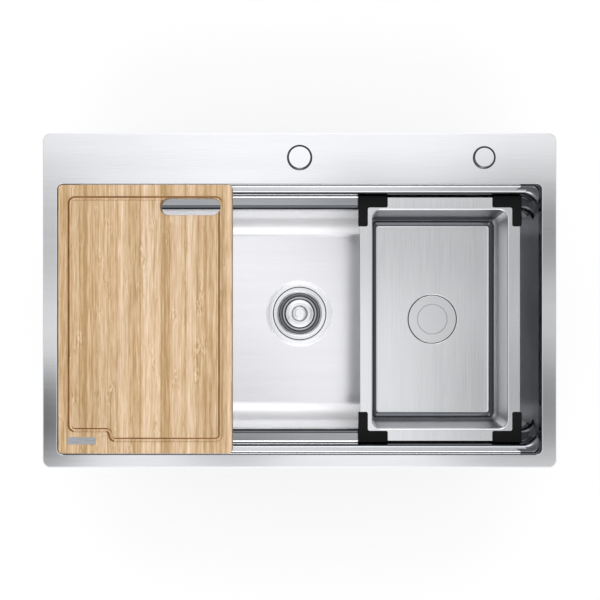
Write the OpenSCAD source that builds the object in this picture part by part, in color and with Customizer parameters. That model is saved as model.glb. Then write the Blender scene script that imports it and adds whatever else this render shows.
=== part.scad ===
// Top-mounted kitchen sink: a stepped bowl with a sliding chopping board and a sliding basin.
// X runs along the sink, Y towards the back and Z up, in millimetres.
// The origin is the middle of the deck, at the level of the worktop that carries it.

/* [Deck] */
// Length of the deck plate, left to right
deck_l = 768; // [740:1:900]
// Width of the deck plate, front to back
deck_w = 500; // [490:1:560]
// Thickness of the deck plate
deck_t = 3; // [2:0.5:4]
// Corner radius of the deck plate
deck_r = 12; // [6:1:20]
// Width of the left and right rims
side_rim = 22.3; // [22:0.1:40]
// Width of the front rim
front_rim = 20; // [20:0.5:40]
// Width of the strip behind the bowl that takes the tap
rear_strip = 76.2; // [66:0.1:100]
// Thickness of the foam seal under the deck
seal_t = 1; // [0.5:0.5:3]
// Width of the foam seal
seal_w = 8; // [5:0.5:8.5]
// Width of worktop that the deck bears on, all round
bearing_w = 11; // [10.7:0.1:12]

/* [Holes and covers] */
// Diameter of the tap hole
tap_hole_d = 35; // [28:0.5:36]
// Distance of both deck holes from the back edge
hole_from_rear = 36.5; // [34:0.5:44]
// Diameter of the accessory hole
side_hole_d = 31; // [25:0.5:34]
// Distance of the accessory hole from the right edge
side_hole_from_right = 108; // [60:1:120]
// How far a cover reaches past its hole, all round
cover_lap = 1.5; // [1.2:0.1:6]
// Height of a cover above its gasket
cover_h = 2.4; // [1.5:0.1:5]
// Width of a cover's sloping edge
cover_slope = 3; // [1:0.5:5]
// Thickness of a cover's foam gasket
cover_gasket_t = 0.8; // [0.5:0.1:2]

/* [Bowl] */
// Sheet thickness of the bowl
sheet_t = 1.2; // [0.8:0.1:1.5]
// Depth of the bowl below the top of the deck
bowl_depth = 220; // [170:1:240]
// Depth of the upper ledge below the top of the deck
upper_ledge_depth = 20; // [14:1:24]
// Depth of the lower ledge below the top of the deck
lower_ledge_depth = 46; // [42:1:60]
// Width of the upper ledge at the front and at the back
upper_ledge_w = 12; // [10:0.5:16]
// Width of the lower ledge at the front and at the back
lower_ledge_w = 20.5; // [18:0.5:30]
// Corner radius at the top of the bowl
mouth_r = 8; // [6:1:12]
// Corner radius between the two ledges
middle_r = 24; // [16:1:26]
// Corner radius below the lower ledge
wall_r = 20; // [16:1:30]
// Radius of the rounded inner edge of each ledge
nose_r = 6; // [3:0.5:7]
// Radius between the walls and the bowl floor
floor_r = 28; // [15:1:35]
// How far each end wall steps in at each ledge
end_draft = 0.5; // [0.3:0.1:1]

/* [Chopping board] */
// Length of the board along the sink
board_l = 260; // [220:1:280]
// Thickness of the board
board_t = 21; // [15:1:26]
// Corner radius of the board
board_r = 7; // [4:0.5:10]
// Gap between the board and the bowl mouth
board_gap = 0.8; // [0.6:0.1:2]
// Width of the juice groove
groove_w = 6; // [4:0.5:9]
// Depth of the juice groove
groove_d = 3; // [1:0.5:6]
// Distance of the groove's centre line from the board's left and right edges
groove_side = 17.5; // [14:0.5:24]
// Distance of the groove's centre line from the board's front and back edges
groove_end = 20.6; // [19:0.1:26]
// Radius of the groove's bends, on its centre line
groove_r = 7.3; // [5:0.1:10]
// Length of the groove's step round the badge plate
groove_step_l = 60.5; // [50:0.5:90]
// Length of the finger slot
slot_l = 90; // [80:1:110]
// Width of the finger slot
slot_w = 26; // [20:0.5:32]
// Distance of the slot's centre from the board's right edge
slot_side = 62.5; // [60:0.5:90]
// Distance of the slot's centre from the board's back edge
slot_end = 32.5; // [26:0.5:60]
// Length of the badge plate
badge_l = 42; // [30:1:46]
// Width of the badge plate
badge_w = 10.6; // [8:0.2:12]
// Thickness of the badge plate
badge_t = 0.6; // [0.4:0.1:1]

/* [Basin] */
// Length of the basin over its corner guards
basin_l = 250; // [220:1:300]
// Gap between the basin and the right end of the bowl
basin_end_gap = 21.7; // [20:0.1:40]
// Gap between the basin and the faces that guide it
guide_gap = 1; // [0.6:0.1:2]
// Depth of the basin below its rim
basin_depth = 90; // [60:1:100]
// Width of the basin's flat rim
basin_rim = 19.3; // [18.5:0.1:30]
// Corner radius of the basin's mouth
basin_r = 13; // [10:1:16]
// Radius between the basin's walls and its floor
basin_floor_r = 14; // [8:1:18]
// Height of a corner guard
guard_h = 11; // [8:0.5:14]
// Wall of a corner guard outside the basin's rim
guard_wall = 2.5; // [1.5:0.1:4]
// Thickness of a corner guard above the basin's rim
guard_lip = 1; // [0.8:0.1:2]
// Length of a corner guard along the sink
guard_l = 45; // [30:1:60]
// Length of a corner guard across the sink
guard_reach = 47; // [30:1:70]
// Width of the arm that runs along the sink
guard_arm_w = 18; // [14:0.5:19]
// Width of the arm that runs across the sink
guard_side_w = 14.5; // [12:0.5:17]

/* [Main drain] */
// Distance of the drain behind the middle of the bowl
drain_back = 9.7; // [0:0.1:30]
// Diameter of the pressed recess round the drain
recess_d = 112; // [108:1:120]
// Depth of the recess
recess_h = 2.5; // [2:0.1:4]
// Diameter of the drain flange
flange_d = 92; // [88:1:96]
// Diameter of the drain mouth
mouth_d = 70; // [68:1:72]
// Depth of the shelf that carries the basket, below the recess
shelf_depth = 15.5; // [15.3:0.1:18]
// Diameter of the pot below the shelf
pot_d = 54; // [50:1:56]
// Depth of the pot below the shelf
pot_depth = 26; // [24:1:34]
// Diameter of the basket rim
basket_rim_d = 58.6; // [57:0.2:62]
// Diameter of the cap over the basket
cap_d = 49; // [40:1:50]
// Diameter of the basket knob
knob_d = 28; // [20:1:32]
// Outer diameter of the waste pipe
pipe_d = 40; // [32:1:40]
// Length of the waste pipe that the trap slides onto
spigot_l = 41; // [30:1:60]

/* [Basin drain] */
// Diameter of the cover over the basin drain
plate_d = 77; // [70:1:84]
// Thickness of that cover
plate_t = 1.6; // [1.2:0.1:2.5]
// Diameter of the ring marked in the cover
plate_ring_d = 48; // [36:1:56]
// Gap round the cover
plate_gap = 1; // [0.6:0.1:2]
// Depth of the pocket that the cover lies in
pocket_h = 5; // [4:0.5:7]
// Outer diameter of the outlet under the basin
outlet_d = 46; // [36:1:50]
// Length of that outlet below the pocket
outlet_l = 22; // [16:1:24]

/* [Fixings] */
// Thickness of the worktop that the clips are set for
worktop_t = 38; // [28:1:40]
// Height of a mounting channel
channel_h = 12; // [10:1:16]
// Width of a mounting channel
channel_w = 6; // [5.6:0.1:6.2]
// Length of the left and right channels
side_channel_l = 300; // [260:1:380]
// Length of the front channel
front_channel_l = 600; // [500:1:640]
// Length of each rear channel
rear_channel_l = 160; // [120:1:180]
// Room kept on both sides of the tap hole
tap_room = 60; // [45:1:70]
// Distance of the side clips from the middle
side_clip_pitch = 100; // [60:1:120]
// Distance of the outer front clips from the middle
front_clip_pitch = 220; // [150:1:235]
// Width of a clip
clip_w = 16; // [12:1:24]
// Thickness of a clip
clip_t = 1.5; // [1:0.1:1.8]
// Diameter of a clip screw
screw_d = 5; // [4:0.5:6]
// Thickness of the sound-damping pads
pad_t = 2; // [1:0.5:4]

/* [Hidden] */
$fn = 64;

steel = "#d4d6d8";
dark_rubber = "#202123";
pale_plastic = "#e6e6e2";
bamboo = "#dcb78c";

eps = 0.01;
over = 5;
arc_steps = 5;

// Levels of the deck and the bowl
deck_bottom = seal_t;
deck_top = seal_t + deck_t;
upper_z = deck_top - upper_ledge_depth;
lower_z = deck_top - lower_ledge_depth;
floor_z = deck_top - bowl_depth;

// Half sizes of the bowl: its length, and its width at the mouth, between the ledges and below them
half_l = deck_l / 2 - side_rim;
half_mouth = (deck_w - front_rim - rear_strip) / 2;
half_middle = half_mouth - upper_ledge_w;
half_wall = half_middle - lower_ledge_w;
bowl_y = (front_rim - rear_strip) / 2;
upper_root_r = 2;
lower_root_r = 3;
root_slack = 0.3;

// Seal and cut-out
seal_inset = 2;
cut_half_l = deck_l / 2 - bearing_w;
cut_half_w = deck_w / 2 - bearing_w;

// Deck holes and their covers
hole_y = deck_w / 2 - hole_from_rear;
side_hole_x = deck_l / 2 - side_hole_from_right;
cover_edge_h = 0.4;
gasket_inset = 0.3;
gasket_slack = 0.2;

// Chopping board
board_half_w = half_mouth - board_gap;
board_x = board_l / 2 - half_l + board_gap;
board_top = upper_z + board_t;
board_relief = upper_root_r + root_slack - board_gap;
board_foot_r = mouth_r + 1;
badge_step = 2 * groove_r;
badge_overhang = 4;
badge_drop = 1.3;
badge_r = 2;

// Basin
basin_half_l = basin_l / 2;
basin_half_w = half_middle - guide_gap;
basin_x = half_l - basin_end_gap - basin_half_l;
rim_half_l = basin_half_l - guard_wall;
rim_half_w = basin_half_w - guard_wall;
rim_r = 6;
rim_z = lower_z + guard_h - guard_lip;
basin_in_l = rim_half_l - basin_rim;
basin_in_w = rim_half_w - basin_rim;
basin_floor_z = rim_z - basin_depth;
guard_corner_r = 3;
guard_slack = 0.2;
guard_relief = lower_root_r + root_slack - guide_gap;

// Main drain, from the recess down
drain_y = bowl_y + drain_back;
recess_z = floor_z - recess_h;
recess_slope = 6;
recess_wall = 1;
body_t = 1.2;
body_slack = 1.8;
flange_t = 1.6;
mouth_slope = 4;
drain_hole_r = mouth_d / 2 + body_t + body_slack;
thread_gap = 0.3;
drain_under_z = recess_z - sheet_t;
gasket_t = 3;
washer_t = 1;
lock_nut_h = 9;
lug_count = 6;
lug_l = 8;
lug_w = 7;
shelf_z = recess_z - shelf_depth;
pot_z = shelf_z - pot_depth;
neck_bore_r = pipe_d / 2 - 1.5;
neck_r = pipe_d / 2 + 2.5;
neck_l = 14;
neck_z = pot_z - neck_l;

// Waste pipe and its nut
tail_washer_t = 2;
pipe_t = 2;
collar_t = 1.5;
nut_lip = 2.5;
pipe_top = neck_z - tail_washer_t;
nut_bottom = pipe_top - collar_t - nut_lip;
nut_grip = 10;
nut_wall = 3.5;
rib_count = 8;
rib_l = 3;
rib_w = 6;
stop_gap = 4;
stop_h = 3;
stop_w = 1.5;
pipe_end = nut_bottom - stop_gap - stop_h - spigot_l;

// Basket
seal_h = 1.5;
basket_rim_z = shelf_z + seal_h;
rim_t = 1;
basket_t = 0.8;
basket_slack = 0.6;
basket_taper = 3.5;
basket_h = 21;
basket_neck_h = 2;
basket_r = pot_d / 2 - basket_slack;
basket_foot_r = basket_r - basket_taper;
basket_bottom = basket_rim_z - basket_h;
wall_slots = 16;
wall_slot_w = 3;
wall_slot_h = 10;
wall_slot_drop = 5;
floor_holes = 10;
floor_hole_r = 2;
floor_hole_inset = 7;
cap_z = basket_rim_z + rim_t;
cap_t = 1.6;
cap_edge = 0.5;
cap_bevel = 1.2;
post_r = 3;
post_gap = 0.2;
post_head_r = 5;
post_head_t = 1.5;
post_end = 3;
knob_base_r = 8;
knob_neck_r = 7.2;
knob_neck_h = 4.5;
knob_edge = 1.2;
knob_h = 10;
knob_bore_h = 4;

// Basin drain
pocket_r = plate_d / 2 + plate_gap;
pocket_z = basin_floor_z - pocket_h;
outlet_flange_t = 1;
outlet_flange_w = 6;
outlet_t = 2;
outlet_slack = 0.5;
basin_gasket_t = 2;
basin_nut_h = 8;
basin_nut_w = 2;
plate_groove = 0.4;
foot_r = 2;
foot_ring_r = outlet_d / 2 + 3;

// Fixings
channel_t = 1;
channel_lip = 2;
channel_slack = 1;
lip_slack = 0.3;
screw_run = 12;
clip_arm_z = -worktop_t - screw_run;
screw_inset = 5.5;
screw_slack = 0.2;
clip_end_inset = 0.5;
boss_h = 4;
boss_r = 4.5;
screw_pad_h = 2;
screw_pad_r = 4.5;
screw_tail = 14;
screw_head_h = 3.5;
rear_clip_x = tap_room + rear_channel_l / 2;

// Sound-damping pads under the floor and on the end walls
floor_pad_l = 200;
floor_pad_w = 220;
floor_pad_from_middle = 80;
floor_pad_r = 10;
end_pad_w = 200;
end_pad_h = 90;
end_pad_top = -70;

// Each channel: the side it is on as an angle, its middle along that side and its length
channel_runs = [
    [0, 0, side_channel_l],
    [180, 0, side_channel_l],
    [270, 0, front_channel_l],
    [90, rear_clip_x, rear_channel_l],
    [90, -rear_clip_x, rear_channel_l]
];

// Each clip: the side it is on as an angle, and its place along that side
clip_spots = [
    [0, side_clip_pitch], [0, -side_clip_pitch],
    [180, side_clip_pitch], [180, -side_clip_pitch],
    [270, 0], [270, front_clip_pitch], [270, -front_clip_pitch],
    [90, rear_clip_x], [90, -rear_clip_x]
];

// Points of a closed outline of right angles, with every corner rounded by r
function unit(v) = v / norm(v);
function rounded(pts, r, steps) = [
    for (i = [0 : len(pts) - 1])
        let (
            n = len(pts),
            u = unit(pts[(i + n - 1) % n] - pts[i]),
            v = unit(pts[(i + 1) % n] - pts[i]),
            c = pts[i] + (u + v) * r
        )
        for (k = [0 : steps]) c - r * (v * cos(90 * k / steps) + u * sin(90 * k / steps))
];

// Corners of a rectangle of half sizes a and b, anticlockwise
function corners(a, b) = [[a, -b], [a, b], [-a, b], [-a, -b]];

module rounded_slab(a, b, r, z0, z1) {
    translate([0, 0, z0]) linear_extrude(z1 - z0) polygon(rounded(corners(a, b), r, arc_steps));
}

module ring(r_out, r_in, z0, z1) {
    translate([0, 0, z0]) difference() {
        cylinder(r = r_out, h = z1 - z0);
        translate([0, 0, -1]) cylinder(r = r_in, h = z1 - z0 + 2);
    }
}

// One level of a pan is [half length, half width, corner radius, height]
function level_points(level) = [
    for (p = rounded(corners(level[0], level[1]), level[2], arc_steps)) [p[0], p[1], level[3]]
];

// Closed solid through a list of levels that starts on the inner floor and ends under the outer floor
module pan(levels) {
    n = 4 * (arc_steps + 1);
    last = len(levels) - 1;
    points = [for (level = levels) each level_points(level)];
    sides = [
        for (i = [0 : last - 1], j = [0 : n - 1])
            let (k = (j + 1) % n) [i * n + j, i * n + k, (i + 1) * n + k, (i + 1) * n + j]
    ];
    inner_floor = [for (j = [n - 1 : -1 : 0]) j];
    outer_floor = [for (j = [0 : n - 1]) last * n + j];
    polyhedron(points = points, faces = concat([inner_floor], sides, [outer_floor]));
}

function reversed(list) = [for (i = [len(list) - 1 : -1 : 0]) list[i]];

// Levels of a hollow corner of radius r, whose surface lies o outside the visible one
function root_levels(len_half, width_half, z, r, o, ra, rb) = [
    for (k = [0 : 2])
        let (a = 45 * k)
        [len_half + o, width_half - r + (r + o) * cos(a), ra + (rb - ra) * k / 2 + o,
         z + r - (r + o) * sin(a)]
];

// Levels of a ledge's rounded inner edge
function nose_levels(len_half, width_half, z, r, o, ra, rb) = [
    for (k = [0 : 4])
        let (a = 22.5 * k)
        [len_half + o, width_half + r - (r - o) * sin(a), ra + (rb - ra) * k / 4 + o,
         z - r + (r - o) * cos(a)]
];

// Levels of the curve between the walls and the floor, on all four sides
function floor_levels(len_half, width_half, z, r, o, corner) = [
    for (k = [0 : 6])
        let (a = 15 * k, inset = r - (r + o) * cos(a))
        [len_half - inset, width_half - inset, max(corner - inset, 4), z + r - (r + o) * sin(a)]
];

// Levels of one face of the bowl, from the mouth down to the floor
function bowl_levels(o) = let (middle_l = half_l - end_draft, low_l = middle_l - end_draft) concat(
    [[half_l + o, half_mouth + o, mouth_r + o, deck_bottom]],
    root_levels(half_l, half_mouth, upper_z, upper_root_r, o, mouth_r, mouth_r + 2),
    nose_levels(middle_l, half_middle, upper_z, nose_r, o, middle_r - nose_r, middle_r),
    root_levels(middle_l, half_middle, lower_z, lower_root_r, o, middle_r, wall_r),
    nose_levels(low_l, half_wall, lower_z, nose_r, o, wall_r - nose_r, wall_r),
    floor_levels(low_l, half_wall, floor_z, floor_r, o, wall_r)
);

// Levels of one face of the basin, from its rim down to its floor
function basin_levels(o) = concat(
    [[basin_in_l + o, basin_in_w + o, basin_r + o, rim_z - o]],
    floor_levels(basin_in_l, basin_in_w, basin_floor_z, basin_floor_r, o, basin_r)
);

module deck() {
    color(steel) difference() {
        rounded_slab(deck_l / 2, deck_w / 2, deck_r, deck_bottom, deck_top);
        translate([0, bowl_y, 0])
            rounded_slab(half_l, half_mouth, mouth_r, deck_bottom - 1, deck_top + 1);
        translate([0, hole_y, 0]) cylinder(d = tap_hole_d, h = 4 * deck_top, center = true);
        translate([side_hole_x, hole_y, 0])
            cylinder(d = side_hole_d, h = 4 * deck_top, center = true);
    }
}

module bowl() {
    color(steel) difference() {
        union() {
            translate([0, bowl_y, 0])
                pan(concat(reversed(bowl_levels(0)), bowl_levels(sheet_t)));
            translate([0, drain_y, drain_under_z])
                cylinder(
                    r1 = recess_d / 2 - recess_slope + recess_wall,
                    r2 = recess_d / 2 + recess_wall, h = recess_h + sheet_t / 2
                );
        }
        translate([0, drain_y, recess_z])
            cylinder(
                r1 = recess_d / 2 - recess_slope, r2 = recess_d / 2 + eps, h = recess_h + eps
            );
        translate([0, drain_y, drain_under_z - 1])
            cylinder(r = drain_hole_r, h = recess_h + sheet_t + 2);
    }
}

module rim_seal() {
    color(dark_rubber) difference() {
        rounded_slab(
            deck_l / 2 - seal_inset, deck_w / 2 - seal_inset, deck_r - seal_inset, 0, seal_t
        );
        rounded_slab(
            deck_l / 2 - seal_inset - seal_w, deck_w / 2 - seal_inset - seal_w, 3, -1, seal_t + 1
        );
    }
}

// Puts a fixing on the side of the cut-out that the angle names, with X pointing outwards
module on_side(angle, along) {
    reach = angle % 180 == 0 ? cut_half_l : cut_half_w;
    rotate([0, 0, angle]) translate([reach - channel_slack, along, 0]) children();
}

// Outline of a channel seen from its end: a web, two legs and one lip to hook on
module channel_section() {
    top = deck_bottom;
    low = deck_bottom - channel_h;
    polygon([
        [0, top], [-channel_w, top], [-channel_w, low], [-channel_w + channel_t, low],
        [-channel_w + channel_t, top - channel_t], [-channel_t, top - channel_t],
        [-channel_t, low + channel_t], [-channel_lip, low + channel_t], [-channel_lip, low],
        [0, low]
    ]);
}

module mounting_channels() {
    color(steel) for (run = channel_runs)
        on_side(run[0], run[1])
            rotate([90, 0, 0]) linear_extrude(run[2], center = true) channel_section();
}

// Outline of a clip seen from its end: a hook, a strap and an arm under the worktop
module clip_section() {
    lip_top = deck_bottom - channel_h + channel_t;
    strap = -channel_lip - lip_slack;
    hook_end = -channel_t - lip_slack;
    arm_end = bearing_w + channel_slack - clip_end_inset;
    polygon([
        [strap - clip_t, lip_top + clip_t], [strap - clip_t, clip_arm_z],
        [arm_end, clip_arm_z], [arm_end, clip_arm_z + clip_t], [strap, clip_arm_z + clip_t],
        [strap, lip_top], [hook_end, lip_top], [hook_end, lip_top + clip_t]
    ]);
}

module clips() {
    color(steel) for (spot = clip_spots)
        on_side(spot[0], spot[1]) difference() {
            union() {
                rotate([90, 0, 0]) linear_extrude(clip_w, center = true) clip_section();
                translate([screw_inset, 0, clip_arm_z - boss_h])
                    cylinder(r = boss_r, h = boss_h + clip_t / 2);
            }
            translate([screw_inset, 0, clip_arm_z - boss_h - 1])
                cylinder(d = screw_d + screw_slack, h = boss_h + clip_t + 2);
        }
}

module clip_screws() {
    end_z = -screw_run - screw_tail;
    color(steel) for (spot = clip_spots)
        on_side(spot[0], spot[1]) translate([screw_inset, 0, -worktop_t]) {
            translate([0, 0, -screw_pad_h]) cylinder(r = screw_pad_r, h = screw_pad_h);
            translate([0, 0, end_z]) cylinder(d = screw_d, h = -end_z - screw_pad_h / 2);
            translate([0, 0, end_z - screw_head_h])
                cylinder(r = screw_d, h = screw_head_h + eps, $fn = 6);
        }
}

module sound_pads() {
    floor_pad_x = floor_pad_from_middle + floor_pad_l / 2;
    end_pad_x = half_l - 2 * end_draft + sheet_t + pad_t / 2;
    color(dark_rubber) for (side = [-1, 1]) {
        translate([side * floor_pad_x, bowl_y, 0])
            rounded_slab(
                floor_pad_l / 2, floor_pad_w / 2, floor_pad_r,
                floor_z - sheet_t - pad_t, floor_z - sheet_t
            );
        translate([side * end_pad_x, bowl_y, end_pad_top - end_pad_h / 2])
            cube([pad_t, end_pad_w, end_pad_h], center = true);
    }
}

// A cover with a flat face and a sloping edge, lying on its gasket
module hole_cover(hole_d) {
    r = hole_d / 2 + cover_lap;
    z0 = deck_top + cover_gasket_t;
    rotate_extrude() polygon(concat(
        [[0, z0], [r, z0]],
        [for (k = [0 : 6])
            let (a = 15 * k)
            [r - cover_slope * (1 - cos(a)),
             z0 + cover_edge_h + (cover_h - cover_edge_h) * sin(a)]],
        [[0, z0 + cover_h]]
    ));
}

module cover_gasket(hole_d) {
    hole_r = hole_d / 2;
    ring(
        hole_r + cover_lap - gasket_inset, hole_r + gasket_slack,
        deck_top, deck_top + cover_gasket_t
    );
}

module tap_hole_cover() {
    color(steel) translate([0, hole_y, 0]) hole_cover(tap_hole_d);
}

module tap_cover_gasket() {
    color(dark_rubber) translate([0, hole_y, 0]) cover_gasket(tap_hole_d);
}

module side_hole_cover() {
    color(steel) translate([side_hole_x, hole_y, 0]) hole_cover(side_hole_d);
}

module side_cover_gasket() {
    color(dark_rubber) translate([side_hole_x, hole_y, 0]) cover_gasket(side_hole_d);
}

// Drain body: flange, throat, shelf for the basket, pot and threaded neck
module strainer_body() {
    throat = mouth_d / 2;
    pot = pot_d / 2;
    color(steel) translate([0, drain_y, 0]) rotate_extrude() polygon([
        [throat + body_t, recess_z], [flange_d / 2, recess_z],
        [flange_d / 2, recess_z + flange_t], [throat + mouth_slope, recess_z + 0.75 * flange_t],
        [throat + body_t, recess_z + 0.4 * flange_t], [throat, recess_z - 1],
        [throat, shelf_z], [pot, shelf_z], [pot, pot_z + body_t],
        [neck_bore_r, pot_z], [neck_bore_r, neck_z], [neck_r, neck_z],
        [neck_r, pot_z - body_t], [pot + body_t, pot_z],
        [pot + body_t, shelf_z - body_t], [throat + body_t, shelf_z - body_t]
    ]);
}

module strainer_gasket() {
    color(dark_rubber) translate([0, drain_y, 0])
        ring(flange_d / 2, drain_hole_r + gasket_slack, drain_under_z - gasket_t, drain_under_z);
}

module friction_washer() {
    top = drain_under_z - gasket_t;
    color("#b9a98a") translate([0, drain_y, 0])
        ring(flange_d / 2, mouth_d / 2 + body_t + 2 * thread_gap, top - washer_t, top);
}

module lock_nut() {
    top = drain_under_z - gasket_t - washer_t;
    color(pale_plastic) translate([0, drain_y, 0]) difference() {
        union() {
            translate([0, 0, top - lock_nut_h]) cylinder(r = flange_d / 2, h = lock_nut_h);
            for (k = [1 : lug_count])
                rotate([0, 0, 360 * k / lug_count])
                    translate([flange_d / 2, 0, top - lock_nut_h / 2])
                        cube([lug_l, lug_w, lock_nut_h], center = true);
        }
        translate([0, 0, top - lock_nut_h - 1])
            cylinder(r = mouth_d / 2 + body_t + thread_gap, h = lock_nut_h + 2);
    }
}

module tail_washer() {
    color(dark_rubber) translate([0, drain_y, 0])
        ring(neck_r - thread_gap, neck_bore_r + gasket_slack, pipe_top, neck_z);
}

module slip_nut() {
    bore = neck_r + thread_gap;
    outer = bore + nut_wall;
    nut_h = neck_z + nut_grip - nut_bottom;
    color(pale_plastic) translate([0, drain_y, nut_bottom]) difference() {
        union() {
            cylinder(r = outer, h = nut_h);
            for (k = [1 : rib_count])
                rotate([0, 0, 360 * k / rib_count]) translate([outer, 0, nut_h / 2])
                    cube([rib_l, rib_w, nut_h], center = true);
        }
        translate([0, 0, nut_lip]) cylinder(r = bore, h = nut_h);
        translate([0, 0, -1]) cylinder(r = pipe_d / 2 + thread_gap, h = nut_h);
    }
}

// Waste pipe: a collar held by the nut, a stop ring and the end that the trap slides onto
module tailpiece() {
    outer = pipe_d / 2;
    stop_top = nut_bottom - stop_gap;
    color(pale_plastic) translate([0, drain_y, 0]) rotate_extrude() polygon([
        [outer - pipe_t, pipe_top], [neck_r - thread_gap, pipe_top],
        [neck_r - thread_gap, pipe_top - collar_t], [outer, pipe_top - collar_t],
        [outer, stop_top], [outer + stop_w, stop_top], [outer + stop_w, stop_top - stop_h],
        [outer, stop_top - stop_h], [outer, pipe_end], [outer - pipe_t, pipe_end]
    ]);
}

module strainer_basket() {
    inner_r = basket_r - basket_t;
    bore = post_r + post_gap;
    neck_low = basket_rim_z - basket_neck_h;
    slot_z = basket_rim_z - wall_slot_drop - wall_slot_h / 2;
    color(steel) translate([0, drain_y, 0]) difference() {
        rotate_extrude() polygon([
            [bore, basket_bottom], [basket_foot_r, basket_bottom],
            [basket_r, neck_low], [basket_r, basket_rim_z],
            [basket_rim_d / 2, basket_rim_z], [basket_rim_d / 2, basket_rim_z + rim_t],
            [inner_r, basket_rim_z + rim_t], [inner_r, neck_low],
            [basket_foot_r - basket_t, basket_bottom + basket_t], [bore, basket_bottom + basket_t]
        ]);
        for (k = [1 : wall_slots])
            rotate([0, 0, 360 * k / wall_slots]) translate([basket_r, 0, slot_z])
                cube([4 * basket_taper, wall_slot_w, wall_slot_h], center = true);
        for (k = [1 : floor_holes])
            rotate([0, 0, 360 * k / floor_holes])
                translate([basket_foot_r - floor_hole_inset, 0, basket_bottom - 1])
                    cylinder(r = floor_hole_r, h = basket_t + 2);
    }
}

module basket_seal() {
    color(dark_rubber) translate([0, drain_y, 0])
        ring(basket_rim_d / 2 + thread_gap, pot_d / 2 + gasket_slack, shelf_z, basket_rim_z);
}

module basket_post() {
    color(steel) translate([0, drain_y, 0]) {
        translate([0, 0, basket_bottom - post_head_t]) cylinder(r = post_head_r, h = post_head_t);
        translate([0, 0, basket_bottom - post_head_t / 2])
            cylinder(r = post_r, h = cap_z + cap_t + post_end - basket_bottom);
    }
}

module basket_cap() {
    r = cap_d / 2;
    bore = post_r + post_gap;
    color(steel) translate([0, drain_y, 0]) rotate_extrude() polygon([
        [bore, cap_z], [r - cap_edge, cap_z], [r, cap_z + cap_edge],
        [r - cap_bevel, cap_z + 2 * cap_edge], [bore, cap_z + cap_t]
    ]);
}

// Mushroom knob on the post, with a blind hole for the post
module basket_knob() {
    r = knob_d / 2;
    z0 = cap_z + cap_t;
    bore = post_r + post_gap;
    dome_z = z0 + knob_neck_h + knob_edge;
    color(steel) translate([0, drain_y, 0]) rotate_extrude() polygon(concat(
        [[bore, z0], [knob_base_r, z0], [knob_neck_r, z0 + knob_neck_h - 1]],
        [[r - 1, z0 + knob_neck_h], [r, dome_z]],
        [for (k = [1 : 5])
            let (a = 18 * k)
            [r * cos(a), dome_z + (z0 + knob_h - dome_z) * sin(a)]],
        [[0, z0 + knob_bore_h], [bore, z0 + knob_bore_h]]
    ));
}

// Corners of the groove's centre line, moved outwards by o, with a step round the badge plate
function groove_path(o) = let (
    left = groove_side - board_l / 2 - o,
    right = board_l / 2 - groove_side + o,
    back = board_half_w - groove_end + o,
    front = groove_end - board_half_w - o,
    step_x = groove_side - board_l / 2 + groove_step_l - o
) [
    [right, front], [right, back], [left, back], [left, front + badge_step],
    [step_x, front + badge_step], [step_x, front]
];

module groove_area(o) {
    polygon(rounded(groove_path(o), groove_r - 0.1, arc_steps));
}

// The board's lower edge is set back where the bowl's inner corner is rounded
module chopping_board() {
    slot_r = slot_w / 2;
    slot_run = slot_l / 2 - slot_r;
    color(bamboo) translate([board_x, bowl_y, 0]) difference() {
        union() {
            rounded_slab(
                board_l / 2, board_half_w, board_r, upper_z + upper_root_r, board_top
            );
            rounded_slab(
                board_l / 2 - board_relief, board_half_w - board_relief,
                board_foot_r, upper_z, board_top - groove_d
            );
        }
        translate([0, 0, board_top - groove_d]) linear_extrude(groove_d + 1) difference() {
            groove_area(groove_w / 2);
            groove_area(-groove_w / 2);
        }
        translate([board_l / 2 - slot_side, board_half_w - slot_end, upper_z - 1]) {
            for (side = [-1, 1])
                translate([side * slot_run, 0, 0]) cylinder(r = slot_r, h = board_t + 2);
            translate([-slot_run, -slot_r, 0]) cube([2 * slot_run, slot_w, board_t + 2]);
        }
    }
}

module badge_plate() {
    badge_x = groove_side - board_l / 2 + badge_l / 2 - badge_overhang;
    badge_y = groove_end - board_half_w - badge_drop;
    color(steel) translate([board_x + badge_x, bowl_y + badge_y, board_top])
        rounded_slab(badge_l / 2, badge_w / 2, badge_r, 0, badge_t);
}

module basin_pan() {
    rim_top = [rim_half_l, rim_half_w, rim_r, rim_z];
    rim_under = [rim_half_l, rim_half_w, rim_r, rim_z - sheet_t];
    color(steel) translate([basin_x, bowl_y, 0]) difference() {
        union() {
            pan(concat(reversed(basin_levels(0)), [rim_top, rim_under], basin_levels(sheet_t)));
            translate([0, 0, pocket_z - sheet_t])
                cylinder(r = pocket_r + sheet_t, h = pocket_h + sheet_t / 2);
        }
        translate([0, 0, pocket_z]) cylinder(r = pocket_r, h = pocket_h + 2);
        translate([0, 0, pocket_z - sheet_t - 1])
            cylinder(r = outlet_d / 2 + outlet_slack, h = sheet_t + 2);
    }
}

// Outline of a guard, with its two outer sides set back
module guard_outline(inset) {
    polygon(rounded([
        [-inset, -inset], [-guard_l, -inset], [-guard_l, -guard_arm_w],
        [-guard_side_w, -guard_arm_w], [-guard_side_w, -guard_reach], [-inset, -guard_reach]
    ], guard_corner_r, arc_steps));
}

// L-shaped guard over one corner of the basin's rim; its slot takes the rim
module guard(side_x, side_y) {
    slot_wall = guard_wall - guard_slack;
    color(dark_rubber)
        translate([basin_x + side_x * basin_half_l, bowl_y + side_y * basin_half_w, lower_z])
            mirror([side_x < 0 ? 1 : 0, 0, 0]) mirror([0, side_y < 0 ? 1 : 0, 0]) difference() {
                union() {
                    linear_extrude(guard_h - guard_lip) guard_outline(guard_relief);
                    translate([0, 0, lower_root_r])
                        linear_extrude(guard_h - lower_root_r) guard_outline(0);
                }
                translate([
                    -guard_l - over - slot_wall, -guard_reach - over - slot_wall,
                    guard_h - guard_lip - sheet_t
                ])
                    cube([guard_l + over, guard_reach + over, sheet_t]);
            }
}

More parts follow.
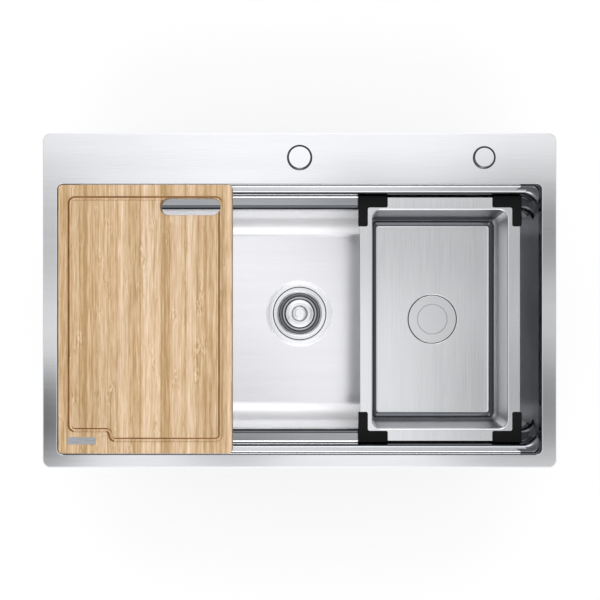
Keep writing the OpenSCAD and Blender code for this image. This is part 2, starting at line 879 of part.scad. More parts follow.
module guard_front_left() { guard(-1, -1); }
module guard_front_right() { guard(1, -1); }
module guard_back_left() { guard(-1, 1); }
module guard_back_right() { guard(1, 1); }

module basin_outlet() {
    r = outlet_d / 2;
    low = pocket_z - outlet_l;
    top = pocket_z + outlet_flange_t;
    color(pale_plastic) translate([basin_x, bowl_y, 0]) rotate_extrude() polygon([
        [r, pocket_z], [r + outlet_flange_w, pocket_z], [r + outlet_flange_w, top],
        [r - outlet_t, top], [r - outlet_t, low], [r, low]
    ]);
}

module basin_gasket() {
    top = pocket_z - sheet_t;
    color(dark_rubber) translate([basin_x, bowl_y, 0])
        ring(
            outlet_d / 2 + outlet_flange_w, outlet_d / 2 + outlet_slack,
            top - basin_gasket_t, top
        );
}

module basin_nut() {
    top = pocket_z - sheet_t - basin_gasket_t;
    color(pale_plastic) translate([basin_x, bowl_y, 0]) difference() {
        translate([0, 0, top - basin_nut_h])
            cylinder(r = outlet_d / 2 + outlet_flange_w + basin_nut_w, h = basin_nut_h, $fn = 8);
        translate([0, 0, top - basin_nut_h - 1])
            cylinder(r = outlet_d / 2 + thread_gap, h = basin_nut_h + 2);
    }
}

module basin_drain_cover() {
    ring_r = plate_ring_d / 2;
    color(steel) translate([basin_x, bowl_y, basin_floor_z - plate_t]) difference() {
        cylinder(d = plate_d, h = plate_t);
        ring(ring_r + plate_groove, ring_r - plate_groove, plate_t - plate_groove, plate_t + 1);
    }
}

module cover_feet() {
    foot_z = pocket_z + outlet_flange_t;
    color(dark_rubber) translate([basin_x, bowl_y, foot_z]) for (k = [0 : 2])
        rotate([0, 0, 120 * k]) translate([foot_ring_r, 0, 0])
            cylinder(r = foot_r, h = basin_floor_z - plate_t - foot_z);
}

deck();
bowl();
rim_seal();
mounting_channels();
clips();
clip_screws();
sound_pads();
tap_hole_cover();
tap_cover_gasket();
side_hole_cover();
side_cover_gasket();
strainer_body();
strainer_gasket();
friction_washer();
lock_nut();
tail_washer();
slip_nut();
tailpiece();
strainer_basket();
basket_seal();
basket_post();
basket_cap();
basket_knob();
chopping_board();
badge_plate();
basin_pan();
guard_front_left();
guard_front_right();
guard_back_left();
guard_back_right();
basin_outlet();
basin_gasket();
basin_nut();
basin_drain_cover();
cover_feet();
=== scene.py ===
import math

import bmesh
import bpy
import numpy as np
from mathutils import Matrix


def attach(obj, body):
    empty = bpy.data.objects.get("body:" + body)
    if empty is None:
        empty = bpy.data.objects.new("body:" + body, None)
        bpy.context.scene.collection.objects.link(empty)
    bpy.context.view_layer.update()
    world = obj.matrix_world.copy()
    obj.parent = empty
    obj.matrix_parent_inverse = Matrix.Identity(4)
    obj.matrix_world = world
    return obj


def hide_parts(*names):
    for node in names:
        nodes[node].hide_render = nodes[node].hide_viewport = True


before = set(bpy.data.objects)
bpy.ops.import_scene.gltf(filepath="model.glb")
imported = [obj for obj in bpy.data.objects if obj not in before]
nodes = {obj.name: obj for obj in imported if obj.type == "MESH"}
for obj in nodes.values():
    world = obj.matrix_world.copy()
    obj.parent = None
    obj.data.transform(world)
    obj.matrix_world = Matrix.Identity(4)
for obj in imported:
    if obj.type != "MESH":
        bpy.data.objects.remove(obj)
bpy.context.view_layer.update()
mm = 0.001
tiny = 1e-6  # closer than this is the same place
scene = bpy.context.scene
print("stage: packed model loaded")


# Every size below is in millimetres, and becomes metres in makePiece. A corner of a profile is (radius or
# offset, height, radius of its rounding), and a corner of an outline is (x, y, radius of its rounding).

def take(sizes, keys):
    # The values of several keys, separated by spaces
    return [sizes[key] for key in keys.split()]


def softProfile(corners, steps=8, lead=0.4):
    # Each corner P = (u, v, r) between its neighbours becomes an arc about C = P + r / sin(half angle) along
    # the bisector: C + r (sin((1 - k) w) s + sin(k w) e) / sin w, where s and e point to the arc's ends.
    # A point close before and after each arc keeps the straight stretches flat.
    corners = np.array([tuple(c) + (0,) * (3 - len(c)) for c in corners], float)
    run = np.diff(corners[:, :2], axis=0)
    length = np.linalg.norm(run, axis=1)
    run /= length[:, None]
    half = np.arccos(np.clip(-(run[:-1] * run[1:]).sum(1), -1, 1)) / 2
    reach = np.concatenate([[0], corners[1:-1, 2] / np.tan(half), [0]])
    spare = np.minimum(lead, np.maximum(length - reach[:-1] - reach[1:], 0) / 3)
    points = [corners[:1, :2]]
    for i in range(1, len(corners) - 1):
        p, r, a, b = corners[i, :2], corners[i, 2], -run[i - 1], run[i]
        if r == 0:
            points.append(p[None])
            continue
        c = p + (a + b) / np.linalg.norm(a + b) * r / math.sin(half[i - 1])
        s, e = (p + a * reach[i] - c) / r, (p + b * reach[i] - c) / r
        w = math.pi - 2 * half[i - 1]
        k = np.linspace(0, 1, steps + 1)[:, None]
        arc = c + r * (np.sin((1 - k) * w) * s + np.sin(k * w) * e) / math.sin(w)
        points += [p + a * (reach[i] + spare[i - 1]), arc, p + b * (reach[i] + spare[i])]
    points.append(corners[-1:, :2])
    return np.vstack(points)


def softOutline(corners, steps=8):
    # Closed outline: softProfile run over the corners with the last put in front and the first put behind.
    # Its normal is the tangent turned a quarter to the right, outwards on an anticlockwise outline.
    points = softProfile([corners[-1]] + list(corners) + [corners[0]], steps)[1:-1]
    tangent = np.roll(points, -1, 0) - np.roll(points, 1, 0)
    tangent /= np.linalg.norm(tangent, axis=1, keepdims=True)
    return points, np.stack([tangent[:, 1], -tangent[:, 0]], -1)


def roundedRings(halfX, halfY, radius, height, middle=(0, 0), arcSteps=12, sideSteps=6):
    # Ring k is a rectangle of half sizes halfX[k], halfY[k] at height[k]: corner centre + radius[k]
    # (cos a, sin a) over each quarter turn. The straight sides are shared out by equal angles seen from
    # the middle, at tan(a) along the side, so that a circle laid inside meets the rings evenly.
    signs = np.array([[1, -1], [1, 1], [-1, 1], [-1, -1]])
    turn = np.radians(np.linspace(0, 90, arcSteps + 1) + np.array([[-90], [0], [90], [180]]))
    centre = (np.stack([halfX, halfY], -1) - radius[:, None])[:, None] * signs
    arcs = centre[:, :, None] + radius[:, None, None, None] * np.stack([np.cos(turn), np.sin(turn)], -1)
    here, there = arcs[:, :, -1:], np.roll(arcs, -1, 1)[:, :, :1]
    lean = np.arctan([halfX[0] / halfY[0], halfY[0] / halfX[0]] * 2)[:, None]
    share = 0.5 + 0.5 * np.tan(np.linspace(-1, 1, sideSteps + 1)[1:-1] * lean) / np.tan(lean)
    sides = here + (there - here) * share[:, :, None]
    plan = np.concatenate([arcs, sides], 2).reshape(len(halfX), -1, 2) + middle
    return np.dstack([plan, np.broadcast_to(height[:, None], plan.shape[:2])])


def circleRings(profile, middle, angles):
    # Point = middle + r (cos a, sin a) at height z, for every (r, z) of the profile and every angle a
    r, z = profile[:, :1], profile[:, 1:]
    x, y = middle[0] + r * np.cos(angles), middle[1] + r * np.sin(angles)
    return np.dstack([x, y, np.broadcast_to(z, x.shape)])


def carriedRings(outline, normal, section):
    # Point = outline + offset x normal at height z, for every (offset, z) of the section
    plan = outline + normal * section[:, :1, None]
    return np.dstack([plan, np.broadcast_to(section[:, 1:], plan.shape[:2])])


def gridFaces(rows, columns, wrapRows=False):
    # Quads (r, c), (r, c + 1), (r + 1, c + 1), (r + 1, c); columns always close, rows do when wrapRows is set
    r, c = np.meshgrid(np.arange(rows if wrapRows else rows - 1), np.arange(columns), indexing="ij")
    up, on = (r + 1) % rows, (c + 1) % columns
    quads = np.stack([r * columns + c, r * columns + on, up * columns + on, up * columns + c], -1)
    return quads.reshape(-1, 4)


def addObject(name, data):
    # An object put into the scene
    thing = bpy.data.objects.new(name, data)
    scene.collection.objects.link(thing)
    return thing


def makePiece(name, rings, ends="caps", sharpAngle=38):
    # A skin over rings of points, rows x columns x 3. Its ends are closed by caps, or joined ("loop").
    # Points that coincide, as at a pole, are merged, and faces are turned outwards.
    rows, columns = rings.shape[:2]
    faces = gridFaces(rows, columns, ends == "loop").tolist()
    if ends == "caps":
        faces += [list(range(columns)), list(range((rows - 1) * columns, rows * columns))]
    mesh = bpy.data.meshes.new(name)
    mesh.from_pydata((rings.reshape(-1, 3) * mm).tolist(), [], faces)
    shell = bmesh.new()
    shell.from_mesh(mesh)
    bmesh.ops.remove_doubles(shell, verts=shell.verts, dist=tiny)
    bmesh.ops.dissolve_degenerate(shell, edges=shell.edges, dist=tiny)
    bmesh.ops.recalc_face_normals(shell, faces=shell.faces)
    shell.to_mesh(mesh)
    shell.free()
    piece = addObject(name, mesh)
    shadeSmooth(piece, sharpAngle)
    return piece


def shadeSmooth(piece, sharpAngle):
    # Smooth shading, with a crease where two faces meet at more than sharpAngle degrees
    piece.data.shade_smooth()
    piece.data.set_sharp_from_angle(angle=math.radians(sharpAngle))


def lathe(name, corners, middle=(0, 0), segments=128, closed=False, sharpAngle=38):
    # Profile (r, z) with softened corners, turned about the upright line through middle
    profile = softProfile(corners, lead=0.15)
    angles = np.linspace(0, 2 * math.pi, segments, endpoint=False)
    return makePiece(name, circleRings(profile, middle, angles), "loop" if closed else "caps", sharpAngle)


def prism(name, corners, section, steps=8):
    # Outline (x, y) with rounded corners, carried up the softened section (offset, z)
    return makePiece(name, carriedRings(*softOutline(corners, steps), softProfile(section, 6, 0.15)))


def rectangle(halfX, halfY, radius, middle=(0, 0)):
    # Four corners, middle plus and minus the half sizes, anticlockwise from the front right
    return [
        (middle[0] + sideX * halfX, middle[1] + sideY * halfY, radius)
        for sideX, sideY in ((1, -1), (1, 1), (-1, 1), (-1, -1))
    ]


def carve(piece, cutters, sharpAngle=38):
    # Piece minus each cutter, kept as the piece's own mesh
    for cutter in cutters:
        cut = piece.modifiers.new(cutter.name, "BOOLEAN")
        cut.operation = "DIFFERENCE"
        cut.solver = "MANIFOLD"
        cut.object = cutter
    shaped = bpy.data.meshes.new_from_object(piece.evaluated_get(bpy.context.evaluated_depsgraph_get()))
    piece.modifiers.clear()
    piece.data = shaped
    for cutter in cutters:
        bpy.data.objects.remove(cutter)
    shadeSmooth(piece, sharpAngle)
    return piece


def place(piece, body, finish, slot, *replaced):
    # Gives a piece its main finish and the body it moves with, and hides the CAD nodes it stands for. Its
    # slot is not used.
    piece.data.materials.clear()
    piece.data.materials.append(finishes[finish])
    piece.data.polygons.foreach_set("material_index", np.zeros(len(piece.data.polygons), np.int32))
    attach(piece, body)
    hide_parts(*replaced)
    return piece


def linear(hexColour):
    # sRGB hex to linear: c / 12.92 below 0.04045, else ((c + 0.055) / 1.055) ^ 2.4
    c = np.array([int(hexColour[i:i + 2], 16) for i in (1, 3, 5)]) / 255
    return (*np.where(c <= 0.04045, c / 12.92, ((c + 0.055) / 1.055) ** 2.4).tolist(), 1.0)


def addNode(tree, kind, inputs=None, stops=(), **settings):
    # Adds a node with its settings and, on a ramp, its stops (position, hex colour or grey level). Each input
    # gets its value, or a link from a socket or from a node's first output.
    node = tree.nodes.new("ShaderNode" + kind)
    for key, value in settings.items():
        setattr(node, key, value)
    for number, (position, colour) in enumerate(stops):
        if number >= len(node.color_ramp.elements):
            node.color_ramp.elements.new(1.0)
        element = node.color_ramp.elements[number]
        element.position = position
        element.color = linear(colour) if isinstance(colour, str) else (colour, colour, colour, 1)
    for key, value in (inputs or {}).items():
        if isinstance(value, bpy.types.Node):
            value = value.outputs[0]
        if isinstance(value, bpy.types.NodeSocket):
            tree.links.new(value, node.inputs[key])
        else:
            node.inputs[key].default_value = value
    return node


def emptyTree(owner):
    # The node tree of a material or of the world, emptied
    owner.use_nodes = True
    owner.node_tree.nodes.clear()
    return owner.node_tree


def newMaterial(name):
    # A material, its tree, and the place on the piece in metres
    material = bpy.data.materials.new(name)
    tree = emptyTree(material)
    return material, tree, addNode(tree, "TexCoord").outputs["Object"]


def cellNoise(tree, where, cell, detail=2.0):
    # Noise read at place / cell, so that its cells measure cell = (x, y, z) millimetres
    scale = [1 / (size * mm) for size in cell]
    return addNode(tree, "TexNoise", {
        "Vector": addNode(tree, "Mapping", {"Vector": where, "Scale": scale}),
        "Scale": 1.0, "Detail": detail, "Roughness": 0.55
    })


def finishSurface(tree, tone, stops, relief, rough, depth, fixed):
    # Colour = stops read at tone, roughness = rough's low to high by relief, bump = relief x depth in mm
    low, high = rough
    surface = addNode(tree, "BsdfPrincipled", {
        "Base Color": addNode(tree, "ValToRGB", {"Fac": tone}, stops),
        "Roughness": addNode(tree, "MapRange", {"Value": relief, "To Min": low, "To Max": high}),
        "Normal": addNode(tree, "Bump", {"Height": relief, "Distance": depth * mm}),
        **fixed
    })
    addNode(tree, "OutputMaterial", {"Surface": surface})


def brushedSteel(name, tone, dark, rough, grain, depth=0.002):
    # Stainless steel sheet, brushed with a belt: fine parallel lines that draw highlights out across them.
    # Real lines stand 0.1 mm apart; they are drawn about 0.8 mm apart so that they show. On the end walls
    # the lines run along Y, chosen by the way the surface faces.
    material, tree, where = newMaterial(name)
    facing = addNode(tree, "TexCoord").outputs["Normal"]
    sideways = addNode(tree, "Math", {
        0: addNode(tree, "SeparateXYZ", {"Vector": facing})
    }, operation="ABSOLUTE")
    endWall = addNode(tree, "MapRange", {"Value": sideways, "From Min": 0.55, "From Max": 0.75})
    lines = addNode(tree, "Mix", {
        0: endWall, 2: cellNoise(tree, where, grain, 3.0),
        3: cellNoise(tree, where, (grain[2], max(grain), grain[2]), 3.0)
    })
    patches = cellNoise(tree, where, [size * 30 for size in grain], 1.0)
    mixed = addNode(tree, "Mix", {0: 0.3, 2: lines, 3: patches})
    finishSurface(tree, mixed, [(0.35, dark), (0.6, tone)], lines, (rough * 0.85, rough * 1.15), depth,
                  {"Metallic": 1.0})
    return material


def turnedSteel(name, tone, dark, rough, middle, ringWidth=0.7, depth=0.002):
    # Stainless steel turned or polished on a lathe: fine rings about its middle, which spread highlights
    # towards it. Real tool marks are 0.05 mm apart; they are drawn wider so that they show.
    material, tree, where = newMaterial(name)
    centred = addNode(tree, "Mapping", {
        "Vector": where, "Location": (-middle[0] * mm, -middle[1] * mm, 0), "Scale": (1, 1, 0)
    })
    radius = addNode(tree, "VectorMath", {0: centred}, operation="LENGTH").outputs["Value"]
    rings = addNode(tree, "TexNoise", {
        "W": radius, "Scale": 1 / (ringWidth * mm), "Detail": 2.0
    }, noise_dimensions="1D")
    finishSurface(tree, rings, [(0.3, dark), (0.6, tone)], rings, (rough * 0.8, rough * 1.2), depth,
                  {"Metallic": 1.0})
    return material


def mouldedMaterial(name, tone, dark, rough, grit, depth, shine=0.5):
    # Moulded rubber, foam or plastic: an even, dull colour with a fine grit pressed in by the mould
    material, tree, where = newMaterial(name)
    grains = cellNoise(tree, where, (grit, grit, grit))
    clouds = cellNoise(tree, where, (grit * 30,) * 3)
    finishSurface(tree, clouds, [(0.35, dark), (0.65, tone)], grains, (rough * 0.88, rough * 1.12), depth,
                  {"Specular IOR Level": shine})
    return material


def bambooMaterial(look):
    # Bamboo, split into strips of several widths that are glued on edge, planed and oiled: straight strips
    # that differ in tone, a thin glue line beside each wide one, fine fibres along them, and here and there
    # a patch of short wavy marks where the canes had their joints. Tone = shift + sum of pattern x contrast.
    material, tree, where = newMaterial("laminatedBamboo")
    across = addNode(tree, "SeparateXYZ", {"Vector": where})
    fibres = cellNoise(tree, where, look["fibreCell"], 3.0)
    drift = cellNoise(tree, where, look["driftCell"], 3.0)
    layers, patterns = [], []
    for width, contrast, shift in look["strips"]:
        moved = addNode(tree, "Math", {0: across, 1: shift * mm}, operation="ADD")
        layers.append({"W": moved, "Scale": 1 / (width * mm), "Randomness": 1.0})
        strip = addNode(tree, "TexVoronoi", layers[-1], voronoi_dimensions="1D").outputs["Color"]
        patterns.append((addNode(tree, "SeparateColor", {"Color": strip}), contrast))
    # joints: wavy marks, let through where a slow noise is high
    marks = addNode(tree, "MapRange", {
        "Value": cellNoise(tree, where, look["markCell"], 4.0),
        "From Min": 0.3, "From Max": 0.7, "To Min": -1.0, "To Max": 1.0
    })
    joints = addNode(tree, "MapRange", {
        "Value": cellNoise(tree, where, look["jointCell"], 1.0),
        "From Min": 0.60, "From Max": 0.74, "To Min": 0.0, "To Max": look["jointContrast"]
    })
    patterns += [(fibres, look["fibreContrast"]), (drift, look["driftContrast"]), (marks, joints)]
    tone = look["toneShift"]
    for pattern, weight in patterns:
        tone = addNode(tree, "Math", {0: pattern, 1: weight, 2: tone}, operation="MULTIPLY_ADD")
    # glue: dark next to the edges of the first layer's strips
    edge = addNode(tree, "TexVoronoi", layers[0],
                   voronoi_dimensions="1D", feature="DISTANCE_TO_EDGE")
    glue = addNode(tree, "MapRange", {
        "Value": edge, "From Min": 0.0, "From Max": 0.06, "To Min": look["glueContrast"], "To Max": 0.0
    })
    tone = addNode(tree, "Math", {0: tone, 1: glue}, operation="SUBTRACT")
    finishSurface(tree, tone, look["tones"], fibres, look["rough"], look["fibreDepth"],
                  {"Specular IOR Level": 0.3})
    return material


# Sizes that several pieces share
sink = {
    "deckTop": 4, "deckBottom": 1, "bowlY": -28.1, "drainY": -18.4, "basinX": 215,
    "upperLedge": -16, "lowerLedge": -42, "floor": -216, "recess": -218.5, "sheet": 1.2,
}
bowlMiddle, drainMiddle = (0, sink["bowlY"]), (0, sink["drainY"])
basinMiddle = (sink["basinX"], sink["bowlY"])

# Deck: a 3 mm plate with the bowl's mouth and two holes cut in it
deck = {
    "halfX": 384, "halfY": 250, "corner": 12, "edge": 0.9, "lowEdge": 0.3, "lap": 3,
    "mouthX": 361.7, "mouthY": 201.9, "mouthCorner": 8, "mouthEdge": 1.6,
    "holes": {"tap": (0, 213.5, 17.5), "side": (276, 213.5, 15.5)}, "holeFlare": 1, "flareBend": 1.5,
    # limits of the painted shade along the mouth's edge
    "edgeLap": 1, "frontBand": 2,
}


def makeDeck():
    # Outer outline moved by its section's offset, then the mouth's outline moved by its own, joined in a loop
    low, top, lap, soft = sink["deckBottom"], sink["deckTop"], deck["lap"], deck["lowEdge"]
    shift, height = softProfile([(-lap, low), (0, low, soft), (0, top, deck["edge"]), (-lap, top)]).T
    rim = roundedRings(deck["halfX"] + shift, deck["halfY"] + shift, deck["corner"] + shift, height)
    shift, height = softProfile([(lap, top), (0, top, deck["mouthEdge"]), (0, low, soft), (lap, low)]).T
    inside = roundedRings(
        deck["mouthX"] + shift, deck["mouthY"] + shift, deck["mouthCorner"] + shift, height, bowlMiddle
    )
    piece = makePiece("deckPlate", np.concatenate([rim, inside]), "loop")
    flare, bend, below = deck["holeFlare"], deck["flareBend"], low - 2
    return carve(piece, [
        lathe(f"{side}Bore", [
            (0, below), (r, below), (r, top - flare, bend), (r + flare, top + flare), (0, top + flare)
        ], (x, y), 96)
        for side, (x, y, r) in deck["holes"].items()
    ])


# Bowl: pressed from 1.2 mm sheet, with two ledges along its front and back
bowl = {
    "halfX": 361.7, "mouthY": 201.9, "middleY": 189.9, "wallY": 169.4,
    "leanX": 1, "leanTop": -10, "leanLow": -50,
    "mouthCorner": 8, "cornerSpread": 2, "middleCorner": 24, "wallCorner": 20, "floorCorner": 4,
    "upperRoot": 2, "lowerRoot": 3, "nose": 6, "ledgeFall": 0.3, "floorBend": 28, "bendSteps": 10,
    "recess": 56, "recessSlope": 6, "recessBend": 9, "recessLap": 14, "drainHole": 38,
    # limits of the painted shade, measured from the ledges
    "noseBand": 20, "noseFoot": 12, "rootTop": 2.2, "upperBand": 0.5, "lowerBand": 1,
    "topCornerX": 337, "lowCornerX": 331, "topCornerBand": 1, "lowCornerBand": 7,
}


def bendLevels(halfX, halfY, height, turn, corners, fixedX=True):
    # One bend as levels (half length, half width, corner radius, height), with a from 0 to 90 degrees.
    # turn = (core, r, swing). Swing 1, a hollow root: y = halfY - core + r cos a, z = height + core - r sin a
    # Swing -1, a rounded nose: y = halfY + core - r sin a, z = height - core + r cos a
    core, radius, swing = turn
    a = np.radians(np.linspace(0, 90, bowl["bendSteps"] + 1))
    across, up = (np.cos(a), -np.sin(a)) if swing > 0 else (-np.sin(a), np.cos(a))
    y = halfY - swing * core + radius * across
    z = height + swing * core + radius * up
    x = np.full_like(a, halfX) if fixedX else halfX - core + radius * across
    return np.stack([x, y, np.linspace(*corners, len(a)), z], -1)


def joinBends(bends, lead=0.5, leadShare=0.3):
    # Straight stretches between bends: level = A + (B - A) share, with a level close to each bend's end and,
    # on a long stretch, one noseBand below its start
    band = bowl["noseBand"]
    parts = [bends[0]]
    for before, after in zip(bends, bends[1:]):
        a, b = before[-1], after[0]
        length = np.linalg.norm((b - a)[[0, 1, 3]])
        share = min(lead / length, leadShare)
        stops = [share, 1 - share] if length < 3 * band else [share, band / length, 1 - share]
        parts += [a + (b - a) * np.array(stops)[:, None], after]
    return np.vstack(parts)


def bowlLevels(out):
    # The bowl's face moved outwards by out, from the mouth down to the floor, as bends joined by straights.
    # Its end walls then move in by leanX x (z - leanTop) / (leanLow - leanTop), held between 0 and 1.
    x, nose = bowl["halfX"] + out, bowl["nose"]
    mouthR, middleR, wallR = np.add(take(bowl, "mouthCorner middleCorner wallCorner"), out)
    rootA, rootB, bend = take(bowl, "upperRoot lowerRoot floorBend")
    upper, lower = take(sink, "upperLedge lowerLedge")
    last = bendLevels(bowl["halfX"] - bowl["leanX"], bowl["wallY"], sink["floor"], (bend, bend + out, 1),
                      (wallR, wallR), False)
    last[:, 2] = np.maximum(wallR - (last[0, 0] - last[:, 0]), bowl["floorCorner"])
    last = np.vstack([last, last[-1] - [0.5, 0.5, 0, 0]])  # keeps the floor's shading flat
    levels = joinBends([
        np.array([[x, bowl["mouthY"] + out, mouthR, sink["deckBottom"]]]),
        bendLevels(x, bowl["mouthY"], upper, (rootA, rootA + out, 1),
                   (mouthR, mouthR + bowl["cornerSpread"])),
        bendLevels(x, bowl["middleY"], upper - bowl["ledgeFall"], (nose, nose - out, -1),
                   (middleR - nose, middleR)),
        bendLevels(x, bowl["middleY"], lower, (rootB, rootB + out, 1), (middleR, wallR)),
        bendLevels(x, bowl["wallY"], lower, (nose, nose - out, -1), (wallR - nose, wallR)),
        last,
    ])
    walls = levels[:-len(last)]
    share = (walls[:, 3] - bowl["leanTop"]) / (bowl["leanLow"] - bowl["leanTop"])
    walls[:, 0] -= bowl["leanX"] * np.clip(share, 0, 1)
    return levels


def makeBowl():
    # Inner face down to the floor, circles round the drain that meet it column by column, then the outer face
    low, sheet, floor = take(sink, "recess sheet floor")
    innerRings = roundedRings(*bowlLevels(0).T, bowlMiddle, sideSteps=48)
    outerRings = roundedRings(*bowlLevels(sheet).T, bowlMiddle, sideSteps=48)
    edge = innerRings[-1, :, :2] - drainMiddle
    angles = np.arctan2(edge[:, 1], edge[:, 0])
    wide, foot, soft = bowl["recess"], bowl["recess"] - bowl["recessSlope"], bowl["recessBend"]
    hole, far = bowl["drainHole"], bowl["recess"] + bowl["recessLap"]
    dish = softProfile([
        (far, floor), (wide, floor, soft), (foot, low, soft), (hole, low, 0.2),
        (hole, low - sheet, 0.2), (foot, low - sheet, soft), (wide, floor - sheet, soft), (far, floor - sheet)
    ])
    rings = np.concatenate([innerRings, circleRings(dish, drainMiddle, angles), outerRings[::-1]])
    return makePiece("bowlShell", rings, "loop", 45)


# Basin: pressed from the same sheet, with a flat rim and a pocket for its drain cover
basin = {
    "rimX": 122.5, "rimY": 186.4, "rimCorner": 6, "rimTop": -32, "rimEdge": 0.5, "rimLap": 3,
    "mouthX": 103.2, "mouthY": 167.1, "mouthCorner": 13, "mouthBend": 2, "mouthLap": 4,
    "floor": -122, "floorBend": 14, "floorLap": 22, "leastCorner": 4, "leanY": 4.2,
    "pocket": 39.5, "pocketDepth": 5, "pocketBend": 1, "pocketLap": 12, "outletHole": 23.5,
    # limits of the walls' painted light and shade: distances from floor and rim, and parts of the normal. The
    # long walls look right or left by longWall or more, and the back wall's part back lies below backWall.
    "wallFoot": 1, "wallTop": 3, "outerTop": 2, "longWall": 0.5, "backWall": -0.8,
    "bendLow": 0.685, "bendHigh": 0.995,
}


def basinRings(section, halfX, halfY, corner):
    # Outline moved by each offset of the section, at its height. Corners never get tighter than leastCorner,
    # and the front and back walls lean in by leanY x the depth below the rim over the basin's depth.
    shift, height = section.T
    top, floor = take(basin, "rimTop floor")
    lean = basin["leanY"] * np.clip((top - height) / (top - floor), 0, 1)
    corner = np.maximum(corner + shift, basin["leastCorner"])
    return roundedRings(halfX + shift, halfY + shift - lean, corner, height, basinMiddle, sideSteps=40)


def makeBasin():
    # Inner face from the floor up, the rim's edge, the outer face down, then the pocket's circles, in a loop
    sheet, top, floor = sink["sheet"], basin["rimTop"], basin["floor"]
    bend, lip = take(basin, "floorBend mouthBend")
    mouth, rim = take(basin, "mouthX mouthY mouthCorner"), take(basin, "rimX rimY rimCorner")
    inside, over, lap, soft = -basin["floorLap"], basin["mouthLap"], -basin["rimLap"], basin["rimEdge"]
    inner = softProfile([(inside, floor), (0, floor, bend), (0, top, lip), (over, top)], 12)
    edge = softProfile([(lap, top), (0, top, soft), (0, top - sheet, soft), (lap, top - sheet)])
    outer = softProfile([
        (over, top - sheet), (sheet, top - sheet, lip - sheet), (sheet, floor - sheet, bend + sheet),
        (inside, floor - sheet)
    ], 12)
    innerRings = basinRings(inner, *mouth)
    reach = innerRings[0, :, :2] - basinMiddle
    angles = np.arctan2(reach[:, 1], reach[:, 0])
    r, low, hole = basin["pocket"], floor - basin["pocketDepth"], basin["outletHole"]
    far, soft = r + basin["pocketLap"], basin["pocketBend"]
    pocket = softProfile([
        (far, floor - sheet), (r + sheet, floor - sheet, 0.3), (r + sheet, low - sheet, soft + sheet),
        (hole, low - sheet, 0.2), (hole, low, 0.2), (r, low, soft), (r, floor, soft), (far, floor)
    ])
    rings = np.concatenate([
        innerRings, basinRings(edge, *rim), basinRings(outer, *mouth),
        circleRings(pocket, basinMiddle, angles)
    ])
    return makePiece("basinShell", rings, "loop", 45)


# Corner guards: L-shaped, moulded, clipped over the corners of the basin's rim
guards = {
    "halfX": 125, "halfY": 188.9, "along": 45, "across": 47, "alongWidth": 18, "acrossWidth": 14.5,
    "corner": 3, "low": -42, "top": -31, "foot": 2.3, "footRise": 2.6, "edge": 0.9, "rimSlack": 0.1,
}


def makeGuard(name, sideX, sideY):
    # An L of six corners, mirrored to its place, carried up a section with a set-back foot and a rounded top
    along, across = -guards["along"], -guards["across"]
    alongIn, acrossIn = -guards["alongWidth"], -guards["acrossWidth"]
    local = [(0, 0), (along, 0), (along, alongIn), (acrossIn, alongIn), (acrossIn, across), (0, across)]
    x, y = sink["basinX"] + sideX * guards["halfX"], sink["bowlY"] + sideY * guards["halfY"]
    corners = [(x + sideX * u, y + sideY * v, guards["corner"]) for u, v in local][::sideX * sideY]
    low, top, foot, edge = take(guards, "low top foot edge")
    piece = prism(name, corners, [
        (-foot - 0.5, low), (-foot, low, 0.2), (0, low + guards["footRise"], 0.6), (0, top, edge),
        (-edge - 0.6, top)
    ])
    slack, rimTop = guards["rimSlack"], basin["rimTop"]
    rim = rectangle(basin["rimX"] + slack, basin["rimY"] + slack, basin["rimCorner"], basinMiddle)
    return carve(piece, [prism("rimSlot", rim, [(0, rimTop - sink["sheet"]), (0, rimTop)])])


# Chopping board: bamboo, with a juice groove, a finger slot and a bare badge plate
board = {
    "middleX": -230.9, "halfX": 130, "halfY": 201.1, "low": -16, "top": 5, "corner": 5.8,
    "leastCorner": 2, "topEdge": 1.2, "foot": 1.5, "footRise": 2, "footCorner": 9,
    "grooveSide": 17.5, "grooveEnd": 20.6, "grooveBend": 7.3, "stepLength": 60.5, "grooveHalf": 3,
    "grooveDepth": 3, "grooveLip": 0.6,
    "slotHalfX": 45, "slotHalfY": 13, "slotFromRight": 62.5, "slotFromBack": 32.5, "slotFlare": 1.2,
    "badgeHalfX": 21, "badgeHalfY": 5.3, "badgeHeight": 0.6, "badgeOverhang": 4, "badgeDrop": 1.3,
    "badgeCorner": 2, "badgeEdge": 0.35,
    # limits of the groove's painted shade: heights, distance from the board's edges and the way it faces
    "grooveShadeTop": 0.3, "grooveShadeLow": 0.1, "grooveShadeInset": 8,
    "grooveShadeUp": 0.02, "grooveShadeRight": 0.15, "grooveShadeFront": -0.3,
}
boardMiddle = (board["middleX"], sink["bowlY"])


def grooveCutter():
    # A U section, wider at its lips, carried round the groove's path with its step round the badge
    left, right = board["grooveSide"] - board["halfX"], board["halfX"] - board["grooveSide"]
    front, back = board["grooveEnd"] - board["halfY"], board["halfY"] - board["grooveEnd"]
    bend = board["grooveBend"] - 0.05  # a little under half the step, so that its two bends don't meet
    stepX, stepY = left + board["stepLength"], front + 2 * board["grooveBend"]
    turns = [(right, front), (right, back), (left, back), (left, stepY), (stepX, stepY), (stepX, front)]
    path = [(boardMiddle[0] + x, boardMiddle[1] + y, bend) for x, y in turns]
    half, deep, lip, top = take(board, "grooveHalf grooveDepth grooveLip top")
    over, edge, wide, wider = top + 1, top + 0.01, half + lip, half + lip + 0.4
    wall, foot, low, soft = half - 0.1, half - 0.8, top - deep, half - 1.0
    section = softProfile([
        (0, over), (wider, over), (wide, edge, 0.1), (wall, top - lip, 1.0), (foot, low, soft),
        (-foot, low, soft), (-wall, top - lip, 1.0), (-wide, edge, 0.1), (-wider, over), (0, over)
    ], 6, 0.1)[:-1]
    return makePiece("grooveCutter", carriedRings(*softOutline(path, 10), section), "loop")


